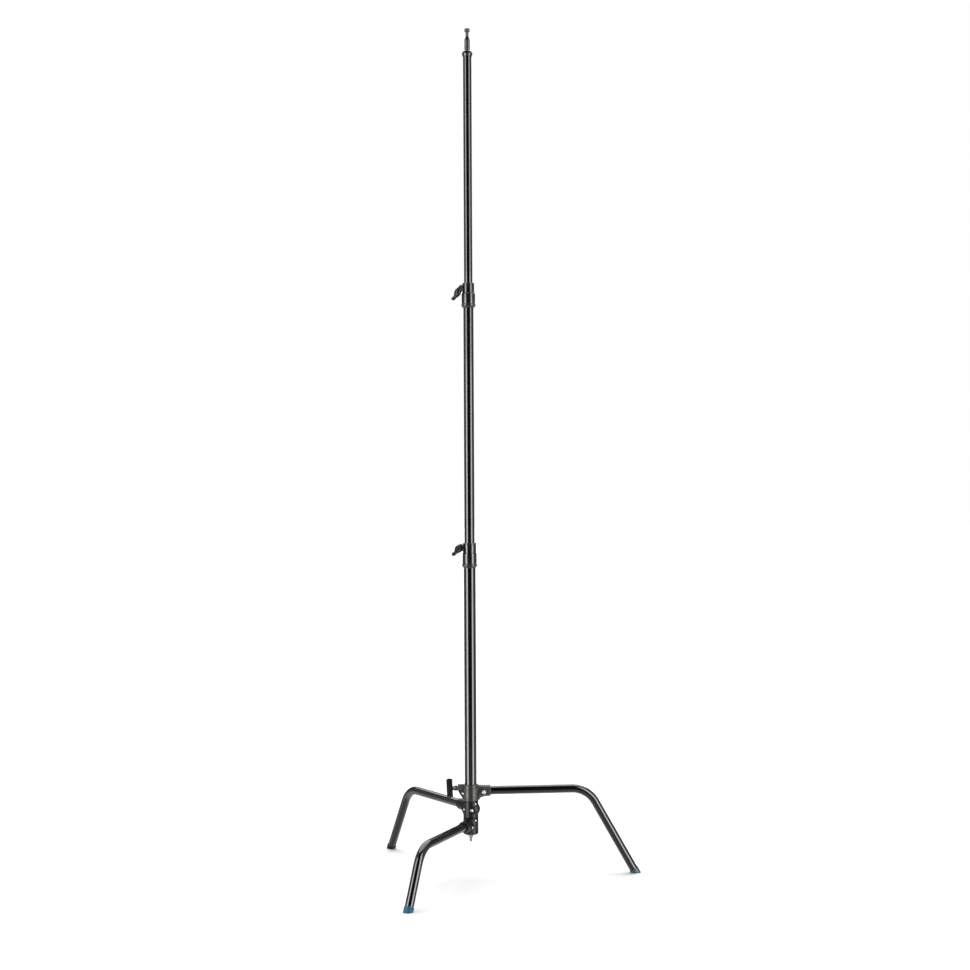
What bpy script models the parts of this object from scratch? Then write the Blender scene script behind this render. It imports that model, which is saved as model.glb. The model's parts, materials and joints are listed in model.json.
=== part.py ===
"""C-stand with a sliding leg: three telescoping tubes on a base of three nesting bent legs.

Metres, +Z up. The stand is drawn round its column axis, then the whole model is shifted so that the
origin lies under the middle of its footprint. Every body has an empty on its joint's axis, and the
pieces of that body are its children, drawn in that empty's own frame (local +X points outwards along
the leg or along the clamp screw).
"""
import math

import bmesh
import bpy
from mathutils import Matrix, Vector

for old in list(bpy.data.objects):
    bpy.data.objects.remove(old, do_unlink=True)

MM = 0.001
WELD = 0.002 * MM                    # points closer than this are one point
GAP = 0.3 * MM                       # running and seating clearance between neighbouring pieces
ROUND = 24                           # sides of the large turned pieces
SMALL_ROUND = 12                     # sides of pins, screws and pads

# Telescoping tubes: outer radius and wall, and where they end.
WALL = 1.5 * MM
COLUMN_RADIUS = 17.5 * MM
RISER_1_RADIUS = 15.0 * MM
RISER_2_RADIUS = 12.5 * MM
COLUMN_BOTTOM = 132 * MM
COLUMN_TOP = 959 * MM
RISER_1_BOTTOM = 897 * MM
RISER_1_TOP = 1734 * MM
RISER_2_BOTTOM = 1672 * MM
RISER_2_TOP = 2449 * MM
GUIDE_SHOULDER = 11 * MM             # length of a riser guide below its tube
GUIDE_SPIGOT = 18 * MM               # length of a riser guide inside its tube

# Clamp collars, by the height of their top faces.
CLAMP_1_TOP = 996 * MM
CLAMP_2_TOP = 1771 * MM
SCREW_DROP = 14.5 * MM               # clamp screw axis below the collar's top face
STEP_DROP = 31 * MM                  # step from upper to lower body below the top face
RIM_DROP = 66 * MM                   # middle of the bottom rim below the top face
COLLAR_HEIGHT = 74 * MM
BUSH_WALL = 1.6 * MM
PAD_RADIUS = 4.5 * MM
PAD_LENGTH = 3.6 * MM
PAD_TRAVEL = 1.5 * MM                # thread pitch: one turn of a lever
PAD_CLEARANCE = 0.35 * MM            # pad's face from the tube or liner it presses on
CLAMP_SCREW_RADIUS = 3.0 * MM
CLAMP_BOSS = 2.0 * MM                # clamp screw boss, proud of the collar's upper body
CLAMP_BOSS_RADIUS = 10.6 * MM
COLLAR_PIN_DROP = 48 * MM            # collar's rivet below its top face
COLLAR_PIN_RADIUS = 3.2 * MM
SIDE_AZIMUTH = 180.0                 # both clamp screws point along -X
LEVER_ROUND = 14                     # sides of a lever's sections

# Stud on top.
STUD_RADIUS = 8.0 * MM
STUD_TOP = 2530 * MM
STUD_NECK = (2504 * MM, 2521 * MM)   # heights between which the stud is necked
STUD_NECK_RADIUS = 4.6 * MM
STUD_SHANK = 40 * MM                 # length of the stud inside the riser
TOP_COLLAR_RADIUS = 16.0 * MM
TOP_COLLAR_BOTTOM = 2447 * MM
TOP_COLLAR_TOP = 2465 * MM

# Legs: azimuth, height of the horizontal run, radius at which the run and the shank would meet.
LEGS = {
    "sliding": {"azimuth": 5.4, "height": 257 * MM, "elbow": 352 * MM},
    "middle": {"azimuth": 123.2, "height": 209.5 * MM, "elbow": 359 * MM},
    "lower": {"azimuth": 247.7, "height": 158.5 * MM, "elbow": 356 * MM},
}
LEG_RADIUS = 12.5 * MM
LEG_LEAN = math.radians(29.5)        # shank from the vertical
LEG_BEND_RADIUS = 82 * MM
LEG_BEND_STEPS = 8
LEG_ROUND = 16
LEG_START = 24 * MM                  # inner end of a leg tube, from the column axis
CAP_HEIGHT = 13 * MM                 # along the shank, from the middle of the foot
CAP_FLOOR = 5 * MM
CAP_WALL = 1.2 * MM

# Leg castings: each is a sleeve round the column with a socket for its leg.
SLEEVE_RADIUS = 22.5 * MM
SOCKET_RADIUS = 16.5 * MM
SOCKET_END = 59 * MM
SOCKET_ROOT_UP = 17.2 * MM           # socket's top above the leg's axis, next to the sleeve
SLIDING_SLEEVE = (227.5 * MM, 276 * MM)
MIDDLE_SLEEVE = (178.0 * MM, 227 * MM)
LOWER_SLEEVE = (128.0 * MM, 177.5 * MM)
LINER_WALL = 1.2 * MM
LINER_SPLIT = 12.0                   # degrees left open in the split liner
LOCK_HEIGHT = 265.5 * MM             # T-handle screw axis
LOCK_BOSS_REACH = 38 * MM            # face of the T-handle boss, from the column axis
LOCK_SCREW_RADIUS = 4.0 * MM
LOCK_PAD_RADIUS = 5.0 * MM
LOCK_PAD_LENGTH = 5.0 * MM
T_BAR_REACH = 63 * MM                # T-bar axis, from the column axis
T_BAR_RADIUS = 9.0 * MM
T_BAR_LENGTH = 57 * MM
T_BAR_TURN = math.radians(35)        # T-bar from the vertical

# Tie rod and spring in the column's foot.
ROD_RADIUS = 4.0 * MM
ROD_BOTTOM = 105 * MM
PLUG_HEIGHT = 14 * MM
SPRING_COILS = 4
SPRING_ROUND = 14                    # sections along one turn of the wire
SPRING_RADIUS = 9.5 * MM
SPRING_WIRE = 1.2 * MM
SPRING_TOP = 170 * MM


def footprint_centre():
    """Middle of the rectangle, square to X and Y, that encloses the three feet."""
    feet = []
    for leg in LEGS.values():
        reach = leg["elbow"] + leg["height"] * math.tan(LEG_LEAN)
        turn = math.radians(leg["azimuth"])
        feet.append((reach * math.cos(turn), reach * math.sin(turn)))
    xs, ys = zip(*feet)
    return (min(xs) + max(xs)) / 2, (min(ys) + max(ys)) / 2


def material(name, colour, roughness, metallic):
    made = bpy.data.materials.new(name)
    made.use_nodes = True
    shader = made.node_tree.nodes["Principled BSDF"]
    shader.inputs["Base Color"].default_value = (*colour, 1)
    shader.inputs["Roughness"].default_value = roughness
    shader.inputs["Metallic"].default_value = metallic
    return made


GLOSS_BLACK = material("gloss_black_paint", (0.02, 0.02, 0.022), 0.25, 0.0)
SATIN_BLACK = material("satin_black_casting", (0.035, 0.033, 0.034), 0.45, 0.2)
BLACK_PLASTIC = material("black_plastic", (0.03, 0.03, 0.03), 0.5, 0.0)
BLUE_PLASTIC = material("blue_plastic", (0.05, 0.32, 0.5), 0.4, 0.0)
CHROME = material("chrome", (0.75, 0.75, 0.76), 0.12, 1.0)
ZINC = material("zinc_steel", (0.72, 0.72, 0.73), 0.3, 1.0)
BRASS = material("brass", (0.72, 0.55, 0.25), 0.35, 1.0)
NYLON = material("nylon", (0.75, 0.74, 0.7), 0.5, 0.0)


def pivot(name, parent, location=(0, 0, 0), azimuth=0.0):
    """Empty on a body's joint axis, turned so that its +X points along the azimuth given."""
    empty = bpy.data.objects.new(name + "_pivot", None)
    bpy.context.scene.collection.objects.link(empty)
    empty.parent = parent
    empty.location = location
    empty.rotation_euler = (0, 0, math.radians(azimuth))
    return empty


def add(name, shape, finish, parent):
    """Turn a bmesh into a named object under its body's pivot."""
    bmesh.ops.remove_doubles(shape, verts=shape.verts, dist=WELD)
    bmesh.ops.recalc_face_normals(shape, faces=shape.faces)
    mesh = bpy.data.meshes.new(name)
    shape.to_mesh(mesh)
    shape.free()
    mesh.shade_smooth()
    mesh.set_sharp_from_angle(angle=math.radians(35))
    mesh.materials.append(finish)
    made = bpy.data.objects.new(name, mesh)
    bpy.context.scene.collection.objects.link(made)
    made.parent = parent
    return made


# ---------------------------------------------------------------------------------- basic shapes

def lathe(profile, sides=ROUND, closed=True, sweep=360.0):
    """Turn a profile of (radius, height) points round Z. Open profiles end on the axis."""
    shape = bmesh.new()
    points = [shape.verts.new((radius, 0, height)) for radius, height in profile]
    pairs = list(zip(points, points[1:]))
    if closed:
        pairs.append((points[-1], points[0]))
    edges = [shape.edges.new(pair) for pair in pairs]
    full = sweep >= 360.0
    if not full:
        shape.faces.new(points)
    bmesh.ops.spin(
        shape, geom=points + edges + list(shape.faces), cent=(0, 0, 0), axis=(0, 0, 1),
        angle=math.radians(sweep), steps=sides, use_merge=full, use_duplicate=False,
    )
    return shape


def tube(inner, outer, low, high, sides=ROUND):
    return lathe([(inner, low), (outer, low), (outer, high), (inner, high)], sides)


def rod(radius, low, high, sides=SMALL_ROUND, chamfer=0.0):
    """Solid round bar along Z, with chamfered ends where a chamfer is given."""
    profile = [(0, low), (radius - chamfer, low)]
    if chamfer:
        profile += [(radius, low + chamfer), (radius, high - chamfer)]
    else:
        profile += [(radius, low), (radius, high)]
    profile += [(radius - chamfer, high), (0, high)]
    return lathe(profile, sides, closed=False)


def ring(centre, across, up, half_across, half_up, sides):
    """Points of an ellipse, given its two unit directions and half sizes."""
    points = []
    for step in range(sides):
        turn = 2 * math.pi * step / sides
        points.append(centre + across * half_across * math.cos(turn) + up * half_up * math.sin(turn))
    return points


def loft(rings, loop=False):
    """Skin a list of equal rings; the ends are capped, or joined to each other in a loop."""
    shape = bmesh.new()
    rows = [[shape.verts.new(point) for point in points] for points in rings]
    count = len(rows[0])
    joins = list(zip(rows, rows[1:]))
    if loop:
        joins.append((rows[-1], rows[0]))
    else:
        shape.faces.new(list(reversed(rows[0])))
        shape.faces.new(rows[-1])
    for first, second in joins:
        for step in range(count):
            following = (step + 1) % count
            shape.faces.new((first[step], first[following], second[following], second[step]))
    return shape


def slab(outline, half_width):
    """Solid from an outline of (x, z) points, extruded both ways along Y."""
    rings = [[Vector((x, side * half_width, z)) for x, z in outline] for side in (-1, 1)]
    return loft(rings)


def moved(shape, matrix):
    bmesh.ops.transform(shape, matrix=matrix, verts=shape.verts)
    return shape


def along(point, direction):
    """Matrix that lays a shape's +Z along a direction, with its origin at a point."""
    turn = Vector(direction).normalized().to_track_quat("Z", "Y").to_matrix().to_4x4()
    return Matrix.Translation(point) @ turn


RADIAL = along((0, 0, 0), (1, 0, 0))           # lays a turned shape along local +X


def weld(mesh):
    """Merge the doubled points that a Boolean leaves along its cuts."""
    shape = bmesh.new()
    shape.from_mesh(mesh)
    bmesh.ops.remove_doubles(shape, verts=shape.verts, dist=WELD)
    bmesh.ops.dissolve_degenerate(shape, edges=shape.edges, dist=WELD)
    shape.to_mesh(mesh)
    shape.free()


def combined(name, base, finish, parent, joined=(), cut=(), solver="EXACT"):
    """Boolean the shapes given into one solid, and keep only the result."""
    made = add(name, base, finish, parent)
    helpers = []
    for operation, shapes in (("UNION", joined), ("DIFFERENCE", cut)):
        for shape in shapes:
            helper = add(name + "_helper", shape, finish, parent)
            helper.hide_render = True
            helper.display_type = "WIRE"
            helpers.append(helper)
            step = made.modifiers.new(operation.lower(), "BOOLEAN")
            step.operation = operation
            step.object = helper
            step.solver = solver
    bpy.context.view_layer.update()
    result = bpy.data.meshes.new_from_object(made.evaluated_get(bpy.context.evaluated_depsgraph_get()))
    made.modifiers.clear()
    made.data = result
    weld(result)
    result.shade_smooth()
    result.set_sharp_from_angle(angle=math.radians(35))
    for helper in helpers:
        bpy.data.objects.remove(helper, do_unlink=True)
    return made


# --------------------------------------------------------------------------------------- rivets

RIVET_HEAD = 0.55                    # head height as a share of its radius
RIVET_SHANK = 0.5                    # shank radius as a share of the head's
RIVET_DEPTH = 2.2 * MM               # shank length of the casting rivets


def rivet(name, parent, point, direction, radius, length, finish=ZINC):
    """Domed rivet, its head sitting on the point given and its shank going in behind it."""
    shank = radius * RIVET_SHANK
    height = radius * RIVET_HEAD
    profile = [(0, -length), (shank, -length), (shank, GAP), (radius, GAP), (radius, GAP + height * 0.3)]
    for share in (0.4, 0.75):
        turn = share * math.pi / 2
        profile.append((radius * math.cos(turn), GAP + height * (0.3 + 0.7 * math.sin(turn))))
    profile.append((0, GAP + height))
    shape = lathe(profile, SMALL_ROUND, closed=False)
    return add(name, moved(shape, along(point, direction)), finish, parent)


def rivet_hole(point, direction, radius, length):
    shank = radius * RIVET_SHANK + GAP
    return moved(rod(shank, -length - GAP, radius, SMALL_ROUND), along(point, direction))


def rivet_seat(point, direction, radius, depth):
    """Round flat pad on a casting, for a rivet head to sit on."""
    return moved(rod(radius + 0.8 * MM, -depth, 0, SMALL_ROUND), along(point, direction))


# ----------------------------------------------------------------------------------------- legs

def leg_stations(leg):
    """Points and angles below the horizontal along a leg's centreline, in its own XZ plane."""
    bend = math.pi / 2 - LEG_LEAN
    run_end = leg["elbow"] - LEG_BEND_RADIUS * math.tan(bend / 2)
    stations = [(Vector((LEG_START, 0, leg["height"])), 0.0)]
    for step in range(LEG_BEND_STEPS + 1):
        angle = bend * step / LEG_BEND_STEPS
        x = run_end + LEG_BEND_RADIUS * math.sin(angle)
        z = leg["height"] - LEG_BEND_RADIUS * (1 - math.cos(angle))
        stations.append((Vector((x, 0, z)), angle))
    return stations


def shank_ring(leg, radius, height=None, distance=None):
    """Section of the straight shank: level at a height, or square at a distance above the foot."""
    down = Vector((math.sin(LEG_LEAN), 0, -math.cos(LEG_LEAN)))
    normal = Vector((math.cos(LEG_LEAN), 0, math.sin(LEG_LEAN)))
    foot = Vector((leg["elbow"] + leg["height"] * math.tan(LEG_LEAN), 0, 0))
    if distance is not None:
        return ring(foot - down * distance, Vector((0, 1, 0)), normal, radius, radius, LEG_ROUND)
    points = ring(foot, Vector((0, 1, 0)), normal, radius, radius, LEG_ROUND)
    return [point + down * (height - point.z) / down.z for point in points]


def leg_skin(leg, radius):
    rings = []
    for point, angle in leg_stations(leg):
        normal = Vector((math.sin(angle), 0, math.cos(angle)))
        rings.append(ring(point, Vector((0, 1, 0)), normal, radius, radius, LEG_ROUND))
    rings.append(shank_ring(leg, radius, height=CAP_FLOOR + GAP))
    return rings


def leg_tube(name, leg, parent):
    skin = leg_skin(leg, LEG_RADIUS)
    lining = leg_skin(leg, LEG_RADIUS - WALL)
    return add(name, loft(skin + lining[::-1], loop=True), GLOSS_BLACK, parent)


def foot_cap(name, leg, parent, finish=BLUE_PLASTIC):
    """Plastic cap, cut level with the floor, with a blind socket for the tube."""
    inner = LEG_RADIUS + GAP
    outer = inner + CAP_WALL
    rows = [
        shank_ring(leg, inner, height=CAP_FLOOR),
        shank_ring(leg, inner, distance=CAP_HEIGHT),
        shank_ring(leg, outer, distance=CAP_HEIGHT),
        shank_ring(leg, outer, height=0.0),
    ]
    return add(name, loft(rows), finish, parent)


# ------------------------------------------------------------------------------------- castings

def socket(leg, root_up, root_down):
    """Boss from the column to the mouth of a leg's socket, with a gusset under it at its root."""
    mouth = SOCKET_RADIUS
    sections = [                     # reach, half width, height above and below the leg's axis
        (4 * MM, 16.8 * MM, root_up, root_down), (24.5 * MM, 16.8 * MM, root_up, root_down),
        (28 * MM, 16.8 * MM, root_up, mouth + 6 * MM),
        (34 * MM, 16.8 * MM, mouth + 0.4 * MM, mouth + 3 * MM),
        (44 * MM, mouth, mouth, mouth + 1 * MM),
        (SOCKET_END - 2 * MM, mouth, mouth, mouth),
        (SOCKET_END, mouth - 1.5 * MM, mouth - 1.5 * MM, mouth - 1.5 * MM),
    ]
    rings = []
    for reach, half_across, up, down in sections:
        centre = Vector((reach, 0, leg["height"] + (up - down) / 2))
        half_up = (up + down) / 2
        rings.append(ring(centre, Vector((0, 1, 0)), Vector((0, 0, 1)), half_across, half_up, LEG_ROUND))
    return loft(rings)


def sleeve(low, high, foot_chamfer):
    return lathe([
        (0, low), (SLEEVE_RADIUS - foot_chamfer, low), (SLEEVE_RADIUS, low + foot_chamfer),
        (SLEEVE_RADIUS, high - 1.2 * MM), (SLEEVE_RADIUS - 1.2 * MM, high), (0, high),
    ], ROUND, closed=False)


def leg_bore(leg):
    start = LEG_START - GAP
    bore = rod(LEG_RADIUS + GAP, start, SOCKET_END + 5 * MM, LEG_ROUND)
    return moved(bore, Matrix.Translation((0, 0, leg["height"])) @ RADIAL)


def column_bore(radius, low, high):
    return rod(radius, low, high, ROUND)


def casting(name, key, parent, span, bore, rivets, extra=(), extra_cuts=(), foot_chamfer=1.2 * MM):
    """Leg casting with its rivets, each given as (name, point, direction, head radius)."""
    leg = LEGS[key]
    low, high = span
    root = (min(SOCKET_ROOT_UP, high - 0.4 * MM - leg["height"]), leg["height"] - low - 0.4 * MM)
    seats = [rivet_seat(*place, 5 * MM) for _, *place in rivets]
    holes = [rivet_hole(*place, RIVET_DEPTH) for _, *place in rivets]
    made = combined(
        name, sleeve(low, high, foot_chamfer), SATIN_BLACK, parent,
        joined=[socket(leg, *root), *seats, *extra],
        cut=[bore, leg_bore(leg), *holes, *extra_cuts], solver="MANIFOLD",
    )
    for rivet_name, point, direction, radius in rivets:
        rivet(rivet_name, parent, point, direction, radius, RIVET_DEPTH)
    return made


def on_sleeve(azimuth, leg_azimuth, height, reach):
    """Point and outward direction on a sleeve, for a world azimuth, in its leg's frame."""
    turn = math.radians(azimuth - leg_azimuth)
    direction = Vector((math.cos(turn), math.sin(turn), 0))
    return direction * reach + Vector((0, 0, height)), direction


# --------------------------------------------------------------------------- clamps and handles

def screw_side(height):
    """Matrix that lays a turned shape along -X at a height, where the clamp screws are."""
    return Matrix.Translation((0, 0, height)) @ Matrix.Rotation(math.pi, 4, "Z") @ RADIAL


def collar_pin_hole(tube_radius, collar_top):
    """Hole through one side of a tube for the rivet that holds its collar."""
    point = Vector((0, tube_radius + 2 * MM, collar_top - COLLAR_PIN_DROP))
    return rivet_hole(point, (0, 1, 0), COLLAR_PIN_RADIUS, 5 * MM)


def clamp_collar(name, parent, top, tube_radius, riser_radius, upper, lower, rim, pin_name):
    """Die-cast collar on a tube's end, with a boss for the clamp screw. Local frame: world axes."""
    bore = tube_radius + GAP
    bush = riser_radius + GAP + BUSH_WALL + GAP
    base = top - COLLAR_HEIGHT
    outer = [
        (bore, base), (bore + 1.2 * MM, base), (rim - 1.5 * MM, base + 5 * MM),
        (rim, top - RIM_DROP - 1 * MM), (rim, top - RIM_DROP + 1.5 * MM),
        (rim - 1 * MM, top - RIM_DROP + 2.5 * MM), (lower - 0.8 * MM, top - RIM_DROP + 3 * MM),
        (lower, top - RIM_DROP + 4.5 * MM), (lower, top - STEP_DROP - 1.5 * MM),
        (upper, top - STEP_DROP + 1 * MM), (upper, top - 4 * MM), (upper + 0.6 * MM, top - 3.4 * MM),
        (upper + 0.6 * MM, top - 1 * MM), (upper - 0.6 * MM, top),
    ]
    seat = top - (CLAMP_1_TOP - COLUMN_TOP) + GAP
    inner = [(riser_radius + GAP, top), (riser_radius + GAP, top - 1.5 * MM), (bush, top - 1.5 * MM),
             (bush, seat), (bore, seat)]
    lay = screw_side(top - SCREW_DROP)
    boss = moved(rod(CLAMP_BOSS_RADIUS, riser_radius + 3 * MM, upper + CLAMP_BOSS, ROUND), lay)
    pocket_end = riser_radius + PAD_CLEARANCE + PAD_LENGTH + PAD_TRAVEL + GAP
    pocket = moved(rod(PAD_RADIUS + GAP, riser_radius - 2 * MM, pocket_end), lay)
    screw_hole = moved(rod(CLAMP_SCREW_RADIUS + GAP, pocket_end - 1 * MM, upper + 8 * MM), lay)
    pin_point = Vector((0, lower - GAP, top - COLLAR_PIN_DROP))
    pin_length = lower - GAP - (tube_radius - WALL) - 0.4 * MM
    hole = rivet_hole(pin_point, (0, 1, 0), COLLAR_PIN_RADIUS, pin_length + 3 * MM)
    made = combined(name, lathe(outer + inner), SATIN_BLACK, parent, joined=[boss],
                    cut=[pocket, screw_hole, hole], solver="MANIFOLD")
    rivet(pin_name, parent, pin_point, (0, 1, 0), COLLAR_PIN_RADIUS, pin_length)
    return made


def clamp_bushing(name, parent, top, riser_radius):
    """Nylon sleeve between the collar and the riser, with a window for the pressure pad."""
    inner = riser_radius + GAP
    low = top - (CLAMP_1_TOP - COLUMN_TOP) + 2 * GAP
    window = moved(rod(PAD_RADIUS + GAP, riser_radius - 4 * MM, riser_radius + 8 * MM),
                   screw_side(top - SCREW_DROP))
    return combined(name, tube(inner, inner + BUSH_WALL, low, top - 1.5 * MM - GAP), NYLON, parent,
                    cut=[window])


def lever_shape():
    """Swept one-sided lever: a broad hub on the screw that curves out and down to a flared tip."""
    stations = [                     # out, sideways and up from the hub's face; tilt; half sizes, in mm
        (0.0, 0.0, 0.0, 0, 10.4, 10.6), (3.0, 2.4, -1.6, 10, 10.8, 11.4), (7.0, 4.6, -7.6, 18, 11.4, 11.6),
        (12.5, 5.4, -13.6, 31, 11.4, 10.6), (16.5, 4.2, -19.4, 41, 9.2, 8.6),
        (18.8, 2.8, -24.4, 45, 6.2, 6.4), (22.0, 1.2, -28.6, 52, 5.4, 5.2),
        (25.2, 0.3, -31.6, 66, 6.2, 5.6), (26.6, 0.0, -34.6, 71, 4.4, 4.2),
    ]
    rings = []
    for out, sideways, up, tilt, half_plane, half_thick in stations:
        turn = math.radians(tilt)
        normal = Vector((math.sin(turn), 0, math.cos(turn)))
        centre = Vector((out, sideways, up)) * MM
        rings.append(ring(centre, Vector((0, 1, 0)), normal, half_thick * MM, half_plane * MM, LEVER_ROUND))
    return loft(rings)


def clamp_hardware(number, parent, axis_height, riser_radius, upper, turn):
    """Pressure pad, then the screw and its lever, on the axis of a clamp."""
    pad_face = riser_radius + PAD_CLEARANCE
    pad_end = pad_face + PAD_LENGTH
    hub_face = upper + CLAMP_BOSS + GAP
    pad_pivot = pivot(f"clamp_{number}_pad", parent, (0, 0, axis_height), SIDE_AZIMUTH)
    add(f"clamp_{number}_pad", moved(rod(PAD_RADIUS, pad_face, pad_end, chamfer=0.4 * MM), RADIAL),
        BRASS, pad_pivot)
    lever_pivot = pivot(f"clamp_{number}_lever", pad_pivot)
    lever_pivot.rotation_euler = (turn, 0, 0)
    bore_end = hub_face + 5 * MM
    bore = moved(rod(CLAMP_SCREW_RADIUS + GAP, hub_face - 5 * MM, bore_end), RADIAL)
    lever = moved(lever_shape(), Matrix.Translation((hub_face, 0, 0)))
    combined(f"clamp_{number}_lever", lever, SATIN_BLACK, lever_pivot, cut=[bore])
    screw = rod(CLAMP_SCREW_RADIUS, pad_end + GAP, bore_end - GAP, chamfer=0.4 * MM)
    add(f"clamp_{number}_screw", moved(screw, RADIAL), ZINC, lever_pivot)


def riser_guide(name, parent, bottom, outer, spigot):
    """Plastic guide on a riser's lower end: a shoulder below the tube, a spigot inside it."""
    bore = spigot - 4 * MM
    profile = [
        (bore, bottom - GUIDE_SHOULDER), (outer - 1 * MM, bottom - GUIDE_SHOULDER),
        (outer, bottom - GUIDE_SHOULDER + 1 * MM), (outer, bottom - GAP),
        (spigot, bottom - GAP), (spigot, bottom + GUIDE_SPIGOT), (bore, bottom + GUIDE_SPIGOT),
    ]
    return add(name, lathe(profile), BLACK_PLASTIC, parent)


# ------------------------------------------------------------------------------------- assembly

def build_column(root):
    body = pivot("column", root)
    inner = COLUMN_RADIUS - WALL
    combined("column_tube", tube(inner, COLUMN_RADIUS, COLUMN_BOTTOM, COLUMN_TOP), GLOSS_BLACK, body,
             cut=[collar_pin_hole(COLUMN_RADIUS, CLAMP_1_TOP)])
    plug = tube(ROD_RADIUS + GAP, inner - GAP, COLUMN_BOTTOM, COLUMN_BOTTOM + PLUG_HEIGHT)
    add("column_plug", plug, ZINC, body)
    clamp_collar("clamp_1_collar", body, CLAMP_1_TOP, COLUMN_RADIUS, RISER_1_RADIUS,
                 19.5 * MM, 21.0 * MM, 23.0 * MM, "clamp_1_rivet")
    clamp_bushing("clamp_1_bushing", body, CLAMP_1_TOP, RISER_1_RADIUS)
    clamp_hardware(1, body, CLAMP_1_TOP - SCREW_DROP, RISER_1_RADIUS, 19.5 * MM, math.radians(55))
    build_spring(body)
    return body


def build_spring(body):
    """Compression spring that holds the lowest casting up, seated on the column's plug."""
    low = COLUMN_BOTTOM + PLUG_HEIGHT + GAP + SPRING_WIRE
    high = SPRING_TOP - GAP - SPRING_WIRE
    steps = SPRING_COILS * SPRING_ROUND
    rings = []
    for step in range(steps + 1):
        turn = 2 * math.pi * step / SPRING_ROUND
        outward = Vector((math.cos(turn), math.sin(turn), 0))
        centre = outward * SPRING_RADIUS + Vector((0, 0, low + (high - low) * step / steps))
        rings.append(ring(centre, outward, Vector((0, 0, 1)), SPRING_WIRE, SPRING_WIRE, 6))
    add("base_spring", loft(rings), ZINC, body)


def build_riser_1(column):
    bush = pivot("riser_1_guide", column, (0, 0, 0))
    riser_guide("riser_1_guide", bush, RISER_1_BOTTOM, COLUMN_RADIUS - WALL - GAP,
                RISER_1_RADIUS - WALL - GAP)
    body = pivot("riser_1", bush)
    inner = RISER_1_RADIUS - WALL
    combined("riser_1_tube", tube(inner, RISER_1_RADIUS, RISER_1_BOTTOM, RISER_1_TOP), GLOSS_BLACK,
             body, cut=[collar_pin_hole(RISER_1_RADIUS, CLAMP_2_TOP)])
    clamp_collar("clamp_2_collar", body, CLAMP_2_TOP, RISER_1_RADIUS, RISER_2_RADIUS,
                 17.5 * MM, 20.0 * MM, 21.5 * MM, "clamp_2_rivet")
    clamp_bushing("clamp_2_bushing", body, CLAMP_2_TOP, RISER_2_RADIUS)
    clamp_hardware(2, body, CLAMP_2_TOP - SCREW_DROP, RISER_2_RADIUS, 17.5 * MM, math.radians(-8))
    return body


def build_riser_2(riser_1):
    bush = pivot("riser_2_guide", riser_1, (0, 0, 0))
    riser_guide("riser_2_guide", bush, RISER_2_BOTTOM, RISER_1_RADIUS - WALL - GAP,
                RISER_2_RADIUS - WALL - GAP)
    body = pivot("riser_2", bush)
    inner = RISER_2_RADIUS - WALL
    add("riser_2_tube", tube(inner, RISER_2_RADIUS, RISER_2_BOTTOM, RISER_2_TOP), GLOSS_BLACK, body)
    build_stud(body, inner)


def build_stud(body, tube_inner):
    """Chrome stud whose shank sits in the riser, and the conical ring that closes the tube's end."""
    seat = RISER_2_TOP + GAP
    shoulder = TOP_COLLAR_BOTTOM + 6.5 * MM
    ring_profile = [
        (RISER_2_RADIUS + GAP, TOP_COLLAR_BOTTOM), (RISER_2_RADIUS + 1.2 * MM, TOP_COLLAR_BOTTOM),
        (TOP_COLLAR_RADIUS, shoulder), (TOP_COLLAR_RADIUS, shoulder + 2 * MM),
        (TOP_COLLAR_RADIUS - 3.5 * MM, TOP_COLLAR_TOP - 3 * MM), (STUD_RADIUS + 1.2 * MM, TOP_COLLAR_TOP),
        (STUD_RADIUS + GAP, TOP_COLLAR_TOP), (STUD_RADIUS + GAP, seat), (RISER_2_RADIUS + GAP, seat),
    ]
    add("top_collar", lathe(ring_profile), SATIN_BLACK, body)
    neck_low, neck_high = STUD_NECK
    stud_profile = [
        (0, RISER_2_TOP - STUD_SHANK), (tube_inner - GAP, RISER_2_TOP - STUD_SHANK),
        (tube_inner - GAP, RISER_2_TOP - GAP), (STUD_RADIUS, RISER_2_TOP - GAP),
        (STUD_RADIUS, neck_low - 6 * MM), (STUD_NECK_RADIUS, neck_low),
        (STUD_NECK_RADIUS, neck_high - 1 * MM), (STUD_RADIUS - 0.6 * MM, neck_high),
        (STUD_RADIUS, neck_high + 1.2 * MM),
        (STUD_RADIUS, STUD_TOP - 1.2 * MM), (STUD_RADIUS - 1.2 * MM, STUD_TOP), (0, STUD_TOP),
    ]
    add("top_stud", lathe(stud_profile, closed=False), CHROME, body)


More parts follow.
